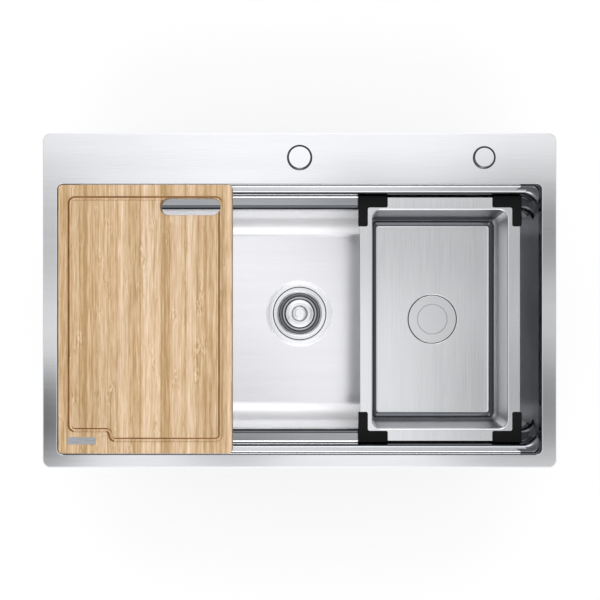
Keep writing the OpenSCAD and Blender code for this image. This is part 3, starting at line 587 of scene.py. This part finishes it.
def makeBoard():
    # Outline moved in by the foot's and the top edge's offsets, with rounder corners at the foot; the finger
    # slot, flared at both faces, and the groove are cut from it
    low, top, foot, rise, flare = take(board, "low top foot footRise slotFlare")
    shift, height = softProfile([
        (-foot - 3, low), (-foot, low, 0.8), (0, low + rise, 1.2), (0, top, board["topEdge"]), (-4, top)
    ]).T
    lowness = np.clip((low + rise - height) / rise, 0, 1)
    rounder = (board["footCorner"] - board["corner"]) * lowness
    corner = board["corner"] + rounder + np.minimum(shift + foot * lowness, 0)
    corner = np.maximum(corner, board["leastCorner"])
    piece = makePiece("bambooBoard", roundedRings(
        board["halfX"] + shift, board["halfY"] + shift, corner, height, boardMiddle
    ))
    slotMiddle = (boardMiddle[0] + board["halfX"] - board["slotFromRight"],
                  boardMiddle[1] + board["halfY"] - board["slotFromBack"])
    roundEnd = board["slotHalfY"] - 0.05
    slot = prism("fingerSlot", rectangle(board["slotHalfX"], board["slotHalfY"], roundEnd, slotMiddle), [
        (flare + 0.8, low - 0.8), (0, low + flare, 1.8), (0, top - flare, 1.8), (flare + 0.8, top + 0.8)
    ], 14)
    return carve(piece, [slot, grooveCutter()], 50)


def makeBadge():
    # A small rounded plate with a softened edge, left bare
    x = board["middleX"] + board["grooveSide"] - board["halfX"] + board["badgeHalfX"] - board["badgeOverhang"]
    y = sink["bowlY"] + board["grooveEnd"] - board["halfY"] - board["badgeDrop"]
    low, top = board["top"], board["top"] + board["badgeHeight"]
    outline = rectangle(board["badgeHalfX"], board["badgeHalfY"], board["badgeCorner"], (x, y))
    return prism("badgePlate", outline, [(-0.6, low), (0, low), (0, top, board["badgeEdge"]), (-0.8, top)])


# Hole covers: turned discs with a sloping edge, lying on foam
covers = {"lap": 1.5, "slope": 3.0, "height": 2.4, "edge": 0.5, "gasket": 0.8}


def makeHoleCover(name, side):
    # Radius = the hole's plus lap up to edge, then sloping in to the flat top
    x, y, hole = deck["holes"][side]
    r, low = hole + covers["lap"], sink["deckTop"] + covers["gasket"]
    top = low + covers["height"]
    return lathe(name, [
        (0, low), (r, low), (r, low + covers["edge"], 0.2), (r - covers["slope"], top, 0.8), (0, top)
    ], (x, y), sharpAngle=50)


# Main drain: a pressed strainer body with a lift-out basket. The cap's edge is measured from its radius and
# underside, the knob's dome from its radius and top.
drain = {
    "flange": 46, "flangeBead": 44.2, "flangeRise": 1.6, "lipSlope": 3.2, "lipDrop": 0.5, "lipFoot": 1,
    "mouth": 35, "seat": 31.6, "wall": 1.2, "shelf": -234, "pot": 27, "potLow": -260,
    "neckBore": 18.5, "neck": 22.5, "neckStep": 0.6, "neckLow": -274,
    "threadPitch": 2, "threadDepth": 0.35, "threadGap": 0.8, "threadTop": 3,
    "basketRim": 29.3, "basketTop": -231.5, "basketLow": -253.5, "basketWall": 26.4, "basketFoot": 22.9,
    "basketSheet": 0.8, "rimStep": 1, "rimDrop": 3, "wallSlots": 16, "slotHalf": 1.5, "slotReach": 3,
    "slotLow": 16, "slotTop": 6, "floorHoles": 10, "holeRing": 15.9, "holeHalf": 2,
    "cap": 24.5, "capTop": -229.9, "capSlope": 6, "postHole": 3.2, "postDepth": 4,
    "capEdge": [(-0.4, 0, 0.2), (0, 0.4, 0.3), (-0.6, 1, 0.4), (-2.2, 0.8, 0.8)],
    "knob": 14, "knobTop": -219.9, "knobBase": 8, "knobDish": 0.7,
    "knobDome": [(-7, -0.7, 4), (-5.5, 0, 1.2), (-2, -1.2, 4), (0, -3.6, 1.2), (-0.6, -5.2, 0.7)],
    "waistLow": 1, "waist": 0.6, "neckWaist": 1.4, "neckDrop": 6.2,
    # limits of the painted shade in the throat and on the basket's rim
    "throatLap": 0.3, "throatDrop": 0.5, "rimBand": 0.6,
}


def threads(radius, top, low):
    # Ridges of one pitch each: radius, radius - depth, radius, down from top to low
    count = int(abs(top - low) / drain["threadPitch"])
    heights = np.linspace(top, low, 2 * count + 1)
    depths = np.tile([0, drain["threadDepth"]], count + 1)[:2 * count + 1]
    return [(radius - depth, height) for depth, height in zip(depths, heights)]


def makeStrainerBody():
    # Profile from the flange over its lip, down the throat to the shelf, the pot and the threaded neck, then
    # back up the outside with the throat's thread
    throat, wall, shelf, pot, potLow = take(drain, "mouth wall shelf pot potLow")
    bore, neck, neckLow = take(drain, "neckBore neck neckLow")
    low, outer = sink["recess"], throat + wall
    top = low + drain["flangeRise"]
    return lathe("strainerBody", [
        (outer, low), (drain["flange"], low), (drain["flange"], top, 0.9), (drain["flangeBead"], top),
        (throat + drain["lipSlope"], top - drain["lipDrop"], 1.5), (throat, low - drain["lipFoot"], 1.5),
        (throat, shelf, 0.8), (drain["seat"], shelf), (pot, shelf, 0.8), (pot, potLow + wall, 3),
        (bore, potLow, 1.0), (bore, neckLow), *threads(neck, neckLow, potLow - wall - drain["threadGap"]),
        (neck - drain["neckStep"], potLow - wall), (pot + wall, potLow, 2), (pot + wall, shelf - wall, 0.8),
        *threads(outer, shelf - wall, low - drain["threadTop"])
    ], drainMiddle, closed=True, sharpAngle=50)


def turnedCorners(corners, angle):
    # Each corner (u, v) turned about the drain: x = u cos a - v sin a, y = u sin a + v cos a + drainY
    c, s = math.cos(angle), math.sin(angle)
    return [(u * c - v * s, u * s + v * c + sink["drainY"], r) for u, v, r in corners]


def makeBasket():
    # A turned cup with a flat rim, cut by slots round its wall and holes round its floor at equal angles
    top, low, sheet, wall, foot, rim, bore = take(
        drain, "basketTop basketLow basketSheet basketWall basketFoot basketRim postHole"
    )
    step, drop = top - drain["rimStep"], top - drain["rimDrop"]
    piece = lathe("strainerBasket", [
        (bore, low), (foot, low, 2.5), (wall, drop, 1), (wall, step, 0.4), (rim, step, 0.4), (rim, top, 0.4),
        (wall - sheet, top, 1.2), (wall - sheet, drop, 1), (foot - sheet, low + sheet, 2), (bore, low + sheet)
    ], drainMiddle, closed=True)
    near, far, half = foot - drain["slotReach"], wall + drain["slotReach"], drain["slotHalf"]
    slot = [(near, -half, 0.2), (far, -half, 0.2), (far, half, 0.2), (near, half, 0.2)]
    ring, half = take(drain, "holeRing holeHalf")
    hole = rectangle(half, half, half - 0.02, (ring, 0))
    cutters = []
    for name, corners, count, section, steps in (
        ("wallSlot", slot, drain["wallSlots"], [(0, top - drain["slotLow"]), (0, top - drain["slotTop"])], 2),
        ("floorHole", hole, drain["floorHoles"], [(0, low - 1), (0, low + sheet + 1)], 5)
    ):
        for k in range(count):
            turned = turnedCorners(corners, 2 * math.pi * k / count)
            cutters.append(prism(f"{name}{k}", turned, section, steps))
    return carve(piece, cutters)


def makeCap():
    # A pressed disc with a rolled edge and a low cone up to the knob
    low, top, r, bore = take(drain, "basketTop capTop cap postHole")
    return lathe("basketCap", [
        (bore, low), *[(r + u, low + v, soft) for u, v, soft in drain["capEdge"]],
        (r - drain["capSlope"], top - 0.3, 3), (drain["knobBase"] + 1, top, 1), (bore, top)
    ], drainMiddle, closed=True)


def makeKnob():
    # A turned mushroom: waist, thin edge and a low dome with a shallow dish in its middle
    base, top, r, bore, foot = take(drain, "capTop knobTop knob postHole knobBase")
    return lathe("basketKnob", [
        (0, top - drain["knobDish"]), *[(r + u, top + v, soft) for u, v, soft in drain["knobDome"]],
        (foot - drain["neckWaist"], top - drain["neckDrop"], 2.0),
        (foot - drain["waist"], base + drain["waistLow"], 1.2), (foot, base, 0.2), (bore, base),
        (bore, base + drain["postDepth"]), (0, base + drain["postDepth"])
    ], drainMiddle)


# Cover of the basin's drain: a flat turned disc with a ring cut in its face
plate = {"radius": 38.5, "top": -122.0, "thickness": 1.6, "ring": 24.0, "ringHalf": 0.5, "ringDepth": 0.4}


def makeDrainCover():
    # Flat at top out to radius, but for a groove ringDepth deep at ring, plus and minus ringHalf
    r, top, ring, half = take(plate, "radius top ring ringHalf")
    deep, low, foot = top - plate["ringDepth"], top - plate["thickness"], half - 0.2
    return lathe("basinDrainCover", [
        (0, low), (r, low, 0.3), (r, top, 0.5), (ring + half, top, 0.2), (ring + foot, deep, 0.2),
        (ring - foot, deep, 0.2), (ring - half, top, 0.2), (0, top)
    ], basinMiddle)


# Finishes of this sink: the values of their functions, in order. Grain = its size along x, y and z.
alongX, alongY = (60, 0.8, 0.8), (0.8, 60, 0.8)
tapMiddle, sideMiddle = deck["holes"]["tap"][:2], deck["holes"]["side"][:2]
sheetSteels = {
    "deckSteel": ("brushedDeckSteel", "#d6d7d8", "#cfd0d1", 0.11, alongX),
    "floorSteel": ("brushedFloorSteel", "#dfdfe1", "#dadadc", 0.20, alongX),
    # walls with a satin finish; their pale tones are painted light and follow the photograph
    "bowlSteel": ("satinBowlSteel", "#fbfbfb", "#f8f8f8", 0.60, alongX),
    "endWallSteel": ("satinEndWallSteel", "#e0e4ea", "#d4d8de", 0.30, alongX),
    # bends polished smooth; their dark tones are painted shade that follows the photograph, not the metal's
    # own
    "noseSteel": ("polishedNoseSteel", "#67696c", "#5c5e61", 0.12, alongX, 0.0005),
    "shadedSteel": ("darkNoseSteel", "#46484b", "#3c3e41", 0.12, alongX, 0.0005),
    # ledges: darker copies of the deck's steel, painted shade
    "topLedgeSteel": ("brushedTopLedgeSteel", "#c6c7c8", "#bebfc0", 0.18, alongX),
    "ledgeSteel": ("brushedLedgeSteel", "#97999b", "#8d8f91", 0.17, alongX),
    # outer sides left as rolled, with a mottle that has no direction
    "millSteel": ("millFinishSteel", "#b4b6b9", "#a5a7aa", 0.40, (3.0, 3.0, 3.0)),
    "basinSteel": ("brushedBasinSteel", "#d2d3d4", "#cbcccd", 0.17, alongY),
    # basin walls: lit and shaded copies of one steel, toned by the way each wall faces: painted light on the
    # long walls, painted shade on the front and, darker, on the back
    "basinWallSteel": ("satinBasinWallSteel", "#ececed", "#e2e3e4", 0.45, alongY),
    "basinEndSteel": ("satinBasinEndSteel", "#929497", "#888a8d", 0.45, alongY),
    "basinBackSteel": ("satinBasinBackSteel", "#6e7074", "#64666a", 0.45, alongY),
    # the basin's floor bends: painted shade, toned dark
    "basinBendSteel": ("polishedBendSteel", "#46484b", "#3b3d40", 0.16, alongY, 0.0005),
    "badgeSteel": ("brushedBadgeSteel", "#a4a6a8", "#929496", 0.28, (20, 0.5, 0.5)),
    # zinc plating; this mottle is far coarser than the crystals of a plated coat
    "fixingSteel": ("zincPlatedSteel", "#b9bbbc", "#a3a5a6", 0.32, (2.5, 2.5, 2.5)),
}
turnedSteels = {
    "coverSteel": ("turnedCoverSteel", "#dadbdc", "#d3d4d5", 0.13, tapMiddle),
    "sideCoverSteel": ("turnedSideCoverSteel", "#d7d8d9", "#d0d1d2", 0.13, sideMiddle),
    # the covers' sloping edges: painted shade, toned dark
    "edgeSteel": ("paintedShadeCoverEdge", "#5f6164", "#54565a", 0.2, tapMiddle),
    "plateSteel": ("turnedPlateSteel", "#cfd0d1", "#c7c8c9", 0.17, basinMiddle),
    "drainSteel": ("polishedDrainSteel", "#dedfe0", "#d4d5d6", 0.20, drainMiddle),
    # the basket's rim: painted shade, toned darker
    "rimSteel": ("paintedShadeBasketRim", "#9c9ea1", "#888a8d", 0.10, drainMiddle),
    # the drain's throat and flange edge: painted shade, toned near black
    "throatSteel": ("paintedShadeThroatSteel", "#404245", "#343639", 0.2, drainMiddle),
    "knobSteel": ("satinKnobSteel", "#f4f4f5", "#dfe0e1", 0.55, drainMiddle),
}
moulded = {
    "sealFoam": ("closedCellFoam", "#3a3b3d", "#2c2d2f", 0.85, 1.2, 0.15),
    "gasketRubber": ("mouldedRubber", "#2b2c2e", "#1f2021", 0.6, 0.8, 0.02),
    "padRubber": ("dampingRubber", "#3b3c3f", "#2a2b2d", 0.75, 2.5, 0.12),
    "guardPlastic": ("grainedGuardPlastic", "#0d0e0f", "#08090a", 0.60, 0.9, 0.04, 0.12),
    "fittingPlastic": ("mouldedPolypropylene", "#eceae4", "#e0ded7", 0.38, 1.6, 0.02),
    "washerNylon": ("mouldedNylon", "#cbb992", "#b9a67d", 0.45, 1.0, 0.02),
    # the groove's darker sides, those that face right and front, away from the lamp: painted shade, toned
    # brown
    "groove": ("paintedShadeGroove", "#94683a", "#7c5228", 0.6, 0.8, 0.03, 0.3),
}
finishes = {
    **{key: brushedSteel(*look) for key, look in sheetSteels.items()},
    **{key: turnedSteel(*look) for key, look in turnedSteels.items()},
    **{key: mouldedMaterial(*look) for key, look in moulded.items()},
    # strips as (width, contrast, shift across), and cells as sizes along x, y and z
    "bamboo": bambooMaterial({
        "strips": [(16.0, 0.24, 270.0), (6.0, 0.13, 0.0), (2.6, 0.12, 0.0), (52.0, 0.18, 640.0)],
        "fibreCell": (0.9, 60.0, 6), "driftCell": (2.4, 34, 9), "markCell": (1.8, 9, 6),
        "jointCell": (16, 48, 16), "fibreContrast": 0.60, "driftContrast": 0.66, "jointContrast": 0.34,
        "glueContrast": 0.10, "toneShift": -0.64, "rough": (0.45, 0.58), "fibreDepth": 0.02,
        "tones": [
            (0.14, "#ab895c"), (0.34, "#c8a982"), (0.50, "#d8bd9d"), (0.66, "#e4ceb0"), (0.88, "#f3e5d0")
        ],
    }),
}
print("stage: finishes made")

# Upward part of a face's normal, from flat to leaning under; far is a limit that nothing reaches
flat, even, tilted, bent, rounded, wall = 0.999, 0.99, 0.985, 0.97, 0.93, 0.69
sloping, steep, raised, upright, under, below = 0.6, 0.3, 0.2, 0.05, -0.2, -0.5
far = 1e4
# End walls look endwise by more than the first, and a shell's outer side looks away by more than the second
endwise, outward = 0.8, 0.02


def around(middle, half):
    # Limits middle - half and middle + half
    return middle - half, middle + half


def markFaces(piece, middle, *marks):
    # Each mark is a finish and the limits that its faces' measures lie between; later marks win. Measures:
    # |x| and |y| from middle, along = y, z, reach = root of x squared + y squared, the normal's parts right,
    # back and up, ends = |right|, and away = the normal's part away from middle, less up.
    mesh = piece.data
    centres, normals = np.empty(len(mesh.polygons) * 3), np.empty(len(mesh.polygons) * 3)
    mesh.polygons.foreach_get("center", centres)
    mesh.polygons.foreach_get("normal", normals)
    u, v, z = centres.reshape(-1, 3).T / mm - [[middle[0]], [middle[1]], [0]]
    right, back, up = normals.reshape(-1, 3).T
    reach = np.hypot(u, v)
    away = (u * right + v * back) / np.maximum(reach, tiny) - up
    measures = {
        "x": abs(u), "y": abs(v), "along": v, "z": z, "reach": reach,
        "right": right, "back": back, "up": up, "ends": abs(right), "away": away
    }
    chosen = np.zeros(len(mesh.polygons), np.int32)
    for finish, limits in marks:
        mesh.materials.append(finishes[finish])
        inside = [(measures[key] > low) & (measures[key] < high) for key, (low, high) in limits.items()]
        chosen[np.all(inside, axis=0)] = len(mesh.materials) - 1
    mesh.polygons.foreach_set("material_index", chosen)
    mesh.update()


deckPlate = place(makeDeck(), "sink", "deckSteel", "deck_steel", "deck")
mouthX, mouthY, lap, corner, band = take(deck, "mouthX mouthY edgeLap mouthCorner frontBand")
# painted shade: the mouth's rounded edge is toned dark, and darker still along its front
markFaces(
    deckPlate, bowlMiddle,
    ("noseSteel", {"up": (-far, rounded), "x": (-far, mouthX + lap), "y": (-far, mouthY + lap)}),
    ("shadedSteel", {"up": (upright, bent), "x": (-far, mouthX - corner), "along": around(-mouthY, band)}),
)
bowlShell = place(makeBowl(), "sink", "floorSteel", "bowl_steel", "bowl")
ledgeA, ledgeB = sink["upperLedge"], sink["lowerLedge"]
noseLow, rootHigh = ledgeB - bowl["nose"], ledgeB + bowl["lowerRoot"]
ends, aside = (-far, endwise), (endwise, far)
# painted light and shade, by the way each face looks and where it lies: pale walls and end walls, dark bends
# and noses, a dark band under the lower nose, a dark riser, darker ledges and dark ledge ends in the far
# corners
markFaces(
    bowlShell, bowlMiddle,
    ("bowlSteel", {"up": (-far, tilted), "z": (-far, noseLow)}),
    ("endWallSteel", {"up": (-far, steep), "ends": aside}),
    ("noseSteel", {"up": (-far, bent), "z": (ledgeA + bowl["rootTop"], far)}),
    ("noseSteel", {"up": (-far, bent), "ends": ends, "z": (rootHigh, ledgeA)}),
    ("noseSteel", {"up": (-far, bent), "ends": ends, "z": (noseLow, ledgeB)}),
    ("shadedSteel", {"up": (under, flat), "ends": ends, "z": (noseLow - bowl["noseBand"], ledgeB)}),
    ("shadedSteel", {"up": (under, sloping), "ends": ends, "z": (rootHigh, ledgeA)}),
    ("ledgeSteel", {
        "up": (sloping, flat), "ends": ends, "z": (ledgeB + bowl["noseFoot"], ledgeA - bowl["ledgeFall"])
    }),
    ("topLedgeSteel", {"up": (even, far), "z": around(ledgeA, bowl["upperBand"])}),
    ("ledgeSteel", {"up": (flat, far), "z": around(ledgeB, bowl["lowerBand"])}),
    ("noseSteel", {
        "up": (raised, far), "x": (bowl["topCornerX"], far), "z": (ledgeA - bowl["topCornerBand"], far)
    }),
    ("shadedSteel", {
        "up": (raised, far), "x": (bowl["lowCornerX"], far), "z": around(ledgeB, bowl["lowCornerBand"])
    }),
    ("millSteel", {"away": (outward, far)}),
)
for side, steel in (("tap", "coverSteel"), ("side", "sideCoverSteel")):
    cover = makeHoleCover(f"{side}HoleCover", side)
    place(cover, f"{side}_cover", steel, "cover_steel", f"{side}_hole_cover")
    # painted shade: the cover's sloping edge is toned dark
    markFaces(cover, deck["holes"][side], ("edgeSteel", {"up": (below, tilted)}))
print("stage: deck, bowl and hole covers made")

strainerBody = place(makeStrainerBody(), "sink", "drainSteel", "drain_steel", "strainer_body")
recess = sink["recess"]
# painted shade: the throat is toned dark and darker still inside the seat, and the flange's outer edge is a
# dark ring
markFaces(
    strainerBody, drainMiddle,
    ("noseSteel", {
        "reach": (-far, drain["mouth"] + drain["throatLap"]), "z": (-far, recess - drain["throatDrop"])
    }),
    ("throatSteel", {"reach": (-far, drain["seat"]), "z": (-far, recess)}),
    ("throatSteel", {"reach": (drain["flangeBead"], far), "z": (recess, far)}),
)
basketShell = place(makeBasket(), "basket", "drainSteel", "drain_steel", "strainer_basket")
# painted shade: the basket's rim is toned darker
rim = (drain["basketWall"] - drain["rimBand"], far)
markFaces(basketShell, drainMiddle, ("rimSteel", {"reach": rim}))
place(makeCap(), "basket", "drainSteel", "drain_steel", "basket_cap")
place(makeKnob(), "basket", "knobSteel", "knob_steel", "basket_knob")
print("stage: main drain made")

bambooBoard = place(makeBoard(), "board", "bamboo", "bamboo", "chopping_board")
grooveShadeLimits = {
    "x": (-far, board["halfX"] - board["grooveShadeInset"]), "y": (-far, board["halfY"] - board["grooveShadeInset"]),
    "z": (board["top"] - board["grooveDepth"] - board["grooveShadeLow"], board["top"] - board["grooveShadeTop"]),
    "up": (board["grooveShadeUp"], far)
}
# painted shade: the groove's sides that face right or front are toned brown
markFaces(
    bambooBoard, boardMiddle,
    ("groove", {**grooveShadeLimits, "right": (board["grooveShadeRight"], far)}),
    ("groove", {**grooveShadeLimits, "back": (-far, board["grooveShadeFront"])}),
)
place(makeBadge(), "board", "badgeSteel", "badge_steel", "badge_plate")
# As in the photograph, the steel round the board doesn't mirror it
bambooBoard.visible_glossy = False
print("stage: chopping board made")

basinShell = place(makeBasin(), "basin", "basinSteel", "basin_steel", "basin_pan")
floor, rimTop, bendLow, bendHigh = take(basin, "floor rimTop bendLow bendHigh")
walls = {"up": (-far, wall), "z": (floor + basin["wallFoot"], rimTop - basin["wallTop"])}
# painted light and shade by the way each face looks: pale long walls, a darker front wall, a darker back wall
# still, dark floor bends; the outer side below the rim takes the pale painted-light steel
markFaces(
    basinShell, basinMiddle,
    ("basinWallSteel", walls),
    ("basinEndSteel", {**walls, "ends": (-far, basin["longWall"])}),
    ("basinBackSteel", {**walls, "back": (-far, basin["backWall"])}),
    ("basinBendSteel", {"up": (bendLow, bendHigh), "z": (floor, floor + basin["floorBend"])}),
    ("bowlSteel", {"away": (outward, far), "z": (-far, rimTop - basin["outerTop"])}),
)
for sideX, across in ((-1, "left"), (1, "right")):
    for sideY, along in ((-1, "front"), (1, "back")):
        guard = makeGuard(f"{along}{across.title()}Guard", sideX, sideY)
        place(guard, "basin", "guardPlastic", "guard_plastic", f"guard_{along}_{across}")
drainCover = place(makeDrainCover(), "basin_cover", "plateSteel", "cover_steel", "basin_drain_cover")
ringEdges = around(plate["ring"], 2 * plate["ringHalf"])
# painted shade: the sides of the ring cut in the cover are toned dark
markFaces(drainCover, basinMiddle, ("noseSteel", {"up": (0, bent), "reach": ringEdges}))
print("stage: basin made")

for material, names in {
    "sealFoam": ["rim_seal", "tap_cover_gasket", "side_cover_gasket"],
    "fixingSteel": ["mounting_channels", "clips", "clip_screws"],
    "padRubber": ["sound_pads"],
    "gasketRubber": ["strainer_gasket", "tail_washer", "basket_seal", "basin_gasket", "cover_feet"],
    "washerNylon": ["friction_washer"],
    "fittingPlastic": ["lock_nut", "slip_nut", "tailpiece", "basin_outlet", "basin_nut"],
    "drainSteel": ["basket_post"],
}.items():
    for name in names:
        for materialSlot in nodes[name].material_slots:
            materialSlot.material = finishes[material]
print("stage: carried-over parts finished")

# Studio, in metres: a view straight down, a white floor and a soft bright room
studio = {
    "viewDistance": 1.5, "frameWidth": 0.8972, "sensorWidth": 36, "cameraY": -0.0279,
    "shift": (0.0006, 0.0317), "floorZ": -0.3285, "floorHalf": 6.0, "floorGlow": 0.72,
    "sky": [
        (0.0, 0.08), (0.14, 0.12), (0.28, 0.30), (0.50, 0.42), (0.66, 0.62), (0.88, 0.75),
        (0.95, 1.0), (1.0, 1.0)
    ],
    "skyLevel": 1.45, "skyTint": "#fdfdff",
    # dark gaps and brighter boxes seen in the steel: direction (x, y, skyHeight), radii in degrees, factor
    "skyHeight": 1500, "patches": [
        (0, 1350, 7, 22, 4.0), (0, -1350, 7, 22, 4.0),
        (410, 0, 1, 13, 0.6), (-430, 0, 1, 15, 0.77), (0, -330, 1, 12, 0.88),
        (-395, -152, 0.3, 4.0, 0.0), (-405, 125, 0.3, 5, 0.65),
        (395, -140, 0.3, 3.4, 0.5), (395, 138, 0.3, 3.4, 0.5),
        (95, 130, 0, 4.4, 0.50), (-20, 140, 0, 3.2, 0.85), (190, 140, 0, 3.8, 0.68),
        (300, 130, 0.3, 4.6, 0.6), (300, -125, 0.3, 5.2, 0.5),
        (-100, -130, 0, 4.6, 0.42),
    ],
    "lampPlace": (-2.2, 1.5, 1.7), "lampSize": 1.6, "lampWatts": 6.0,
}
white = (1, 1, 1, 1)


def seenBy(tree, ray):
    # 1 for the camera's own rays and for the named kind of ray, else 0
    path = addNode(tree, "LightPath").outputs
    return addNode(tree, "Math", {0: path["Is Camera Ray"], 1: path[ray]}, operation="MAXIMUM")


def makeWorld():
    # Seen in steel: a bright sky that darkens towards the horizon, multiplied by each patch's factor, which
    # fades out between its two radii. Seen directly: plain white.
    scene.world = bpy.data.worlds.new("softStudio")
    tree = emptyTree(scene.world)
    way = addNode(tree, "TexCoord").outputs["Generated"]
    height = addNode(tree, "SeparateXYZ", {"Vector": way}).outputs["Z"]
    level = addNode(tree, "ValToRGB", {"Fac": height}, studio["sky"])
    level.color_ramp.interpolation = "EASE"
    for x, y, inner, outer, factor in studio["patches"]:
        direction = [x, y, studio["skyHeight"]]
        unit = np.array(direction) / np.linalg.norm(direction)
        closeness = addNode(tree, "VectorMath", {0: way, 1: unit.tolist()}, operation="DOT_PRODUCT")
        shade = addNode(tree, "MapRange", {
            "Value": closeness.outputs["Value"], "From Min": math.cos(math.radians(outer)),
            "From Max": math.cos(math.radians(inner)), "To Min": 1.0, "To Max": factor
        }, interpolation_type="SMOOTHSTEP")
        level = addNode(tree, "Math", {0: level, 1: shade}, operation="MULTIPLY")
    tinted = addNode(tree, "Mix", {0: 1.0, 6: linear(studio["skyTint"]), 7: level},
                     data_type="RGBA", blend_type="MULTIPLY").outputs[2]
    lit = addNode(tree, "Background", {"Color": tinted, "Strength": studio["skyLevel"]})
    plain = addNode(tree, "Background", {"Color": white, "Strength": 1.0})
    mixed = addNode(tree, "MixShader", {0: seenBy(tree, "Is Transmission Ray"), 1: lit, 2: plain})
    addNode(tree, "OutputWorld", {"Surface": mixed})


def makeFloor():
    # A plain pale floor under the waste pipe. Part of its white is a glow for the camera and for reflections,
    # so that it is white in the picture and still takes the object's shadow. From below it is clear.
    half, z = take(studio, "floorHalf floorZ")
    mesh = bpy.data.meshes.new("floor")
    corners = [(-half, -half, z), (half, -half, z), (half, half, z), (-half, half, z)]
    mesh.from_pydata(corners, [], [(0, 1, 2, 3)])
    material = bpy.data.materials.new("paintedFloor")
    tree = emptyTree(material)
    paint = addNode(tree, "BsdfDiffuse", {"Color": linear("#f7f7f7")})
    glow = addNode(tree, "Emission", {"Color": white, "Strength": 1.0})
    seen = seenBy(tree, "Is Glossy Ray")
    share = addNode(tree, "Math", {0: seen, 1: studio["floorGlow"]}, operation="MULTIPLY")
    mixed = addNode(tree, "MixShader", {0: share, 1: paint, 2: glow})
    below = addNode(tree, "NewGeometry").outputs["Backfacing"]
    clear = addNode(tree, "BsdfTransparent")
    sided = addNode(tree, "MixShader", {0: below, 1: mixed, 2: clear})
    addNode(tree, "OutputMaterial", {"Surface": sided})
    mesh.materials.append(material)
    addObject("floor", mesh)


def makeLamp():
    # One large soft lamp from the back left. Steel doesn't mirror it; it models the wood, rubber and plastic.
    lamp = bpy.data.lights.new("softbox", "AREA")
    lamp.size = studio["lampSize"]
    lamp.energy = studio["lampWatts"]
    holder = addObject("softbox", lamp)
    holder.location = studio["lampPlace"]
    holder.rotation_euler = (-holder.location).to_track_quat("-Z", "Y").to_euler()
    holder.visible_glossy = False


def makeCamera():
    # Straight down over the bowl: focal length = sensor width x distance / width seen at the deck
    lens = bpy.data.cameras.new("camera")
    lens.sensor_width = studio["sensorWidth"]
    lens.lens = studio["sensorWidth"] * studio["viewDistance"] / studio["frameWidth"]
    lens.shift_x, lens.shift_y = studio["shift"]
    scene.camera = addObject("camera", lens)
    scene.camera.location = (0, studio["cameraY"], studio["viewDistance"] + sink["deckTop"] * mm)


makeWorld()
makeFloor()
makeLamp()
makeCamera()
scene.view_settings.view_transform = "Standard"
print("stage: studio made")
